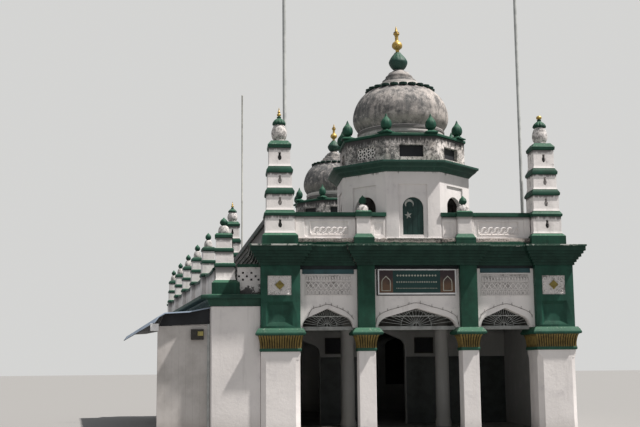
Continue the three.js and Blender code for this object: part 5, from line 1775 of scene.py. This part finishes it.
def wing_roof():
    form = Form()
    rings = [wing_plan(d, z) for d, z in WING_EAVES]
    form.skin(rings, 0)
    form.flat([q[:2] for q in rings[-1]], [], lambda u, v: Vector((u, v, WING_TOP)), 1)
    form.flat([q[:2] for q in rings[0]], [], lambda u, v: Vector((u, v, WING_WALL_TOP)), 1, True)
    piece(form, "wing_roof_dressed", [WING_GREEN, ROOF_CONCRETE], ("wing_roof",), 0.004)


def wall_tint(spot, normal):
    # outside faces, inside faces
    inside = LEFT - SKEW * spot.y + 0.02 < spot.x < RIGHT - 0.02 and 0.37 < spot.y < BACK - 0.02
    return 1 if inside and spot.z < 4.1 else 0


def wing():
    corner_turret()
    pierced_parapet()
    side_parapet()
    wing_roof()
    dressed("wing_walls", [WING_PLASTER], None, 0.012)
    dressed("side_awning", [AWNING], None, 0.004)
    dressed("awning_end_panel", [BOARDS], None, 0.003)


# Openings at the back and the side: boarded leaves and louvred shutters, painted green
def outline_top(outline, x):
    # Height of an outline over a place across it
    heights = [za + (zb - za) * (x - xa) / (xb - xa) for (xa, za), (xb, zb) in zip(outline, outline[1:] + outline[:1])
               if xa != xb and min(xa, xb) <= x <= max(xa, xb)]
    return max(heights)


def boarded_leaves(name, place, outline, depth):
    # A pair of boarded leaves with ledges and a bead where they meet
    form = Form()
    half = max(x for x, _ in outline)
    foot = min(z for _, z in outline)
    face = depth + 0.02
    form.plate(outline, [], place, depth - 0.02, face, 0)
    count = round(2 * half / 0.15)
    for i in range(1, count):
        x = -half + 2 * half * i / count
        top = min(outline_top(outline, x - 0.004), outline_top(outline, x + 0.004)) - 0.01
        form.plate(rectangle(x - 0.004, x + 0.004, foot + 0.01, top), [], place, face, face + 0.002, 1, False)
    for z in (foot + 0.22, foot + 1.02, foot + 1.82):
        for x0, x1 in ((-half + 0.02, -0.03), (0.03, half - 0.02)):
            form.plate(rectangle(x0, x1, z, z + 0.11), [], place, face, face + 0.02, 0, False)
    bead = rectangle(-0.02, 0.02, foot + 0.01, outline_top(outline, 0.0) - 0.02)
    form.plate(bead, [], place, face, face + 0.025, 0, False)
    piece(form, name, [DOOR, BLACK_AND_PAINTED_SHADE], (), 0.003)


def louvred_shutters(name, place, outline, depth):
    form = Form()
    half = max(x for x, _ in outline)
    foot = min(z for _, z in outline)
    crest = outline_top(outline, 0.0)
    inner = offset(outline, -0.05)
    form.plate(outline, [inner], place, depth - 0.02, depth + 0.03, 0)
    # A black sheet behind the slats: painted shade
    form.plate(inner, [], place, depth - 0.02, depth - 0.012, 1)
    form.plate(rectangle(-0.025, 0.025, foot + 0.04, crest - 0.05), [], place, depth - 0.01, depth + 0.03, 0, False)
    slats = int((crest - foot - 0.16) / 0.05)
    for k in range(slats):
        z = foot + 0.07 + 0.05 * k
        reach = max([x for x in (half - 0.055 - 0.01 * i for i in range(40))
                     if x > 0.05 and outline_top(outline, x + 0.05) > z + 0.09] or [0.0])
        if reach:
            for x0, x1 in ((-reach, -0.025), (0.025, reach)):
                slat = [(z, 0.022), (z + 0.006, 0.024), (z + 0.046, -0.006), (z + 0.040, -0.010)]
                ends = [[place(x, v, depth + w) for v, w in slat] for x in (x0, x1)]
                form.skin(ends, 0)
    piece(form, name, [DOOR, BLACK_AND_PAINTED_SHADE])


def closures():
    for name, x in (("rear_right", 1.8), ("rear_left", -2.3)):
        window = pointed_arch(0.0, 0.445, 2.35, 0.335, 1.055)[::-1]
        louvred_shutters(name + "_shutters", facing((x, BACK, 0.0), math.pi), window, -0.17)
    door = pointed_arch(0.0, 0.595, 2.35, 0.445, FLOOR + 0.005)
    boarded_leaves("rear_door_leaves", facing((-0.25, BACK, 0.0), math.pi), door, -0.19)
    slope = math.atan(WING_SKEW)
    for name, y in (("front", 2.6), ("middle", 6.4), ("rear", 10.2)):
        x = WING_LEFT - WING_SKEW * (y - WING_FRONT)
        opening = rectangle(-0.59, 0.59, FLOOR + 0.005, 2.345)
        place = facing((x, y, 0.0), slope - math.pi / 2)
        boarded_leaves(f"wing_{name}_door_leaves", place, opening, -0.15)


# Inside the porch: dark tiled foot of the hall wall, framed boards
def porch_fittings():
    y = 4.5
    form = Form()
    face = facing((0.0, y, 0.0))
    for x0, x1 in ((-3.3, -2.75), (-1.75, -0.545), (0.545, 3.22)):
        form.plate(rectangle(x0, x1, FLOOR, 1.86), [], face, 0.0, 0.012, 0, False)
        form.plate(rectangle(x0, x1, 1.86, 1.90), [], face, 0.0, 0.02, 0, False)
    piece(form, "hall_wall_dado", [DADO], (), 0.003)
    boards = Form()
    for x0, x1 in ((-1.62, -1.165), (0.775, 1.285)):
        boards.plate(rectangle(x0, x1, 1.985, 2.41), [rectangle(x0 + 0.03, x1 - 0.03, 2.015, 2.38)], face, 0.0, 0.04,
                     0, False)
        boards.plate(rectangle(x0 + 0.03, x1 - 0.03, 2.015, 2.38), [], face, 0.0, 0.02, 1, False)
    piece(boards, "hall_wall_boards", [METER_BOX, BLACK_AND_PAINTED_SHADE], (), 0.003)


def porch_column(side, x):
    form = Form()
    profile = ((0.198, FLOOR), (0.198, 0.27), (0.184, 0.32), (0.176, 0.36), (0.166, 2.88), (0.178, 2.93),
               (0.178, 2.99), (0.168, 3.02), (0.198, 3.16), (0.198, 3.30))
    lathe(form, profile, (x, PORCH_Y), 40)
    piece(form, side + "_porch_column_dressed", [INNER_PLASTER], (side + "_porch_column",), 0.006)


def shell():
    dressed("floor_slab", [FLOOR_CONCRETE], None, 0.01)
    dressed("main_cornice", [CORNICE, ROOF_CONCRETE],
            lambda spot, normal: 1 if normal.z > 0.9 and spot.z > 4.3 and spot.y > 0.45 else 0, 0.005)
    dressed("main_roof", [ROOF_CONCRETE, PAINTED_SHADE_CEILING],
            lambda spot, normal: 1 if normal.z < -0.5 else 0, 0.01)
    for node in ("left_wall", "right_wall", "rear_wall"):
        dressed(node, [SIDE_PLASTER, HALL_PAINTED_SHADE_PLASTER], wall_tint, 0.01)
    dressed("inner_wall", [HALL_PAINTED_SHADE_PLASTER], None, 0.01)
    dressed("porch_beam", [INNER_PLASTER], None, 0.01)
    for side, x in (("left", -1.2), ("right", 1.2)):
        porch_column(side, x)
    closures()
    porch_fittings()


# Flagpoles and the side mast, with a cap and a clamp to the tower
POLES = (("left_flagpole", -2.89, 0.52, 0.045, ROOF, 11.4, POLE),
         ("right_flagpole", 2.735, 0.56, 0.04, ROOF, 11.4, POLE),
         ("side_mast", -3.745, 9.0, 0.024, RAIL_TOP, 10.18, PALE_POLE))


def poles():
    for node, x, y, radius, low, high, paint in POLES:
        form = Form()
        profile = [(radius * 1.5, low), (radius * 1.5, low + 0.02), (radius, low + 0.03), (radius, low + 1.6),
                   (radius * 1.06, low + 1.61), (radius * 1.06, low + 1.68), (radius * 0.97, low + 1.69),
                   (radius * 0.97, high - 0.04), (radius * 1.1, high - 0.035), (radius * 1.1, high - 0.012),
                   (radius * 0.5, high)]
        lathe(form, profile, (x, y), 20)
        piece(form, node + "_tube", [paint], (node,))


# Small things on the wing's front wall
def wing_fittings():
    form = Form()
    form.box((-5.011, -0.20, 2.254), (-4.73, -0.13, 2.486), 0)
    form.box((-4.862, -0.215, 2.341), (-4.739, -0.20, 2.438), 1)
    form.box((-4.975, -0.208, 2.30), (-4.895, -0.20, 2.44), 0)
    piece(form, "meter_box", [METER_BOX, METER_DIAL], (), 0.004)
    box = Form()
    box.box((-5.89, -0.215, 2.455), (-5.712, -0.13, 2.605), 0)
    box.box((-5.895, -0.22, 2.597), (-5.707, -0.13, 2.612), 0)
    piece(box, "junction_box", [FRAME_PAINT], (), 0.004)
    post = Form()
    post.box((-4.652, -0.168, 0.0), (-4.596, -0.13, 2.60))
    piece(post, "panel_edge_post", [POLE], (), 0.006)
    fascia = Form()
    low, high = ((-5.70, 2.56), (-4.60, 2.60)), ((-5.62, 2.78), (-4.60, 2.93))
    outline = [low[0], low[1], high[1], (-5.10, 2.87), (-5.55, 2.84), high[0]]
    fascia.plate(outline, [], facing((0.0, -0.12, 0.0)), 0.0, 0.02, 0)
    piece(fascia, "awning_fascia", [BLACK_AND_PAINTED_SHADE], (), 0.002)


def build():
    shell()
    supports()
    bays()
    sign_board()
    towers()
    parapets()
    domes()
    wing()
    poles()
    wing_fittings()


build()


# Pale floor, sky light and sun, camera
CAMERA_SPOT = (-4.27959407, -23.8071156, 1.59942196)
CAMERA_YAW = 0.0902302036
CAMERA_PITCH = 0.145021721
CAMERA_ROLL = -0.00925793852
FOCAL_PIXELS = 1063.60859
PHOTO_WIDTH = 640
SENSOR = 36.0
SUN_TRAVEL = (-0.483, 0.165, -0.86)


def stage_floor():
    mesh = bpy.data.meshes.new("floor")
    reach = 400.0
    mesh.from_pydata([(-reach, -reach, 0), (reach, -reach, 0), (reach, reach, 0), (-reach, reach, 0)], [],
                     [(0, 1, 2, 3)])
    mesh.materials.append(finish("pale_floor", lambda p: {"color": (0.27, 0.266, 0.26), "rough": 0.9}))
    floor = bpy.data.objects.new("floor", mesh)
    bpy.context.scene.collection.objects.link(floor)


def stage_backdrop():
    # Pale paper all round, seen by the camera alone, so it adds no light
    bm = bmesh.new()
    bmesh.ops.create_uvsphere(bm, u_segments=48, v_segments=24, radius=395.0)
    bmesh.ops.reverse_faces(bm, faces=bm.faces)
    mesh = bpy.data.meshes.new("backdrop")
    bm.to_mesh(mesh)
    bm.free()
    paper = bpy.data.materials.new("backdrop_paper")
    paper.use_nodes = True
    tree = paper.node_tree
    tree.nodes.clear()
    graph = Graph(tree)
    glow = graph.node("ShaderNodeEmission", {}, {"Color": (0.66, 0.66, 0.65), "Strength": 1.0})
    tree.links.new(glow.socket, tree.nodes.new("ShaderNodeOutputMaterial").inputs["Surface"])
    mesh.materials.append(paper)
    backdrop = bpy.data.objects.new("backdrop", mesh)
    bpy.context.scene.collection.objects.link(backdrop)
    for ray in ("diffuse", "glossy", "transmission", "volume_scatter", "shadow"):
        setattr(backdrop, "visible_" + ray, False)


def lights():
    world = bpy.data.worlds.new("studio")
    world.use_nodes = True
    sky = world.node_tree.nodes["Background"]
    sky.inputs["Color"].default_value = (0.94, 0.965, 1.0, 1.0)
    sky.inputs["Strength"].default_value = 0.40
    bpy.context.scene.world = world
    bpy.context.scene.view_settings.view_transform = "Standard"
    sun = bpy.data.lights.new("sun", "SUN")
    sun.energy = 6.0
    sun.angle = math.radians(2.0)
    sun.color = (1.0, 0.955, 0.91)
    lamp = bpy.data.objects.new("sun", sun)
    lamp.rotation_euler = Vector(SUN_TRAVEL).to_track_quat("-Z", "Y").to_euler()
    bpy.context.scene.collection.objects.link(lamp)


def camera():
    data = bpy.data.cameras.new("camera")
    data.sensor_width = SENSOR
    data.lens = FOCAL_PIXELS / PHOTO_WIDTH * SENSOR
    data.clip_end = 1000.0
    sy, cy = math.sin(CAMERA_YAW), math.cos(CAMERA_YAW)
    sp, cp = math.sin(CAMERA_PITCH), math.cos(CAMERA_PITCH)
    sr, cr = math.sin(CAMERA_ROLL), math.cos(CAMERA_ROLL)
    level = Vector((cy, -sy, 0.0))
    ahead = Vector((sy * cp, cy * cp, sp))
    above = level.cross(ahead)
    right = level * cr + above * sr
    up = above * cr - level * sr
    view = bpy.data.objects.new("camera", data)
    view.matrix_world = Matrix.Translation(CAMERA_SPOT) @ Matrix((right, up, -ahead)).transposed().to_4x4()
    bpy.context.scene.collection.objects.link(view)
    bpy.context.scene.camera = view


stage_floor()
stage_backdrop()
lights()
camera()
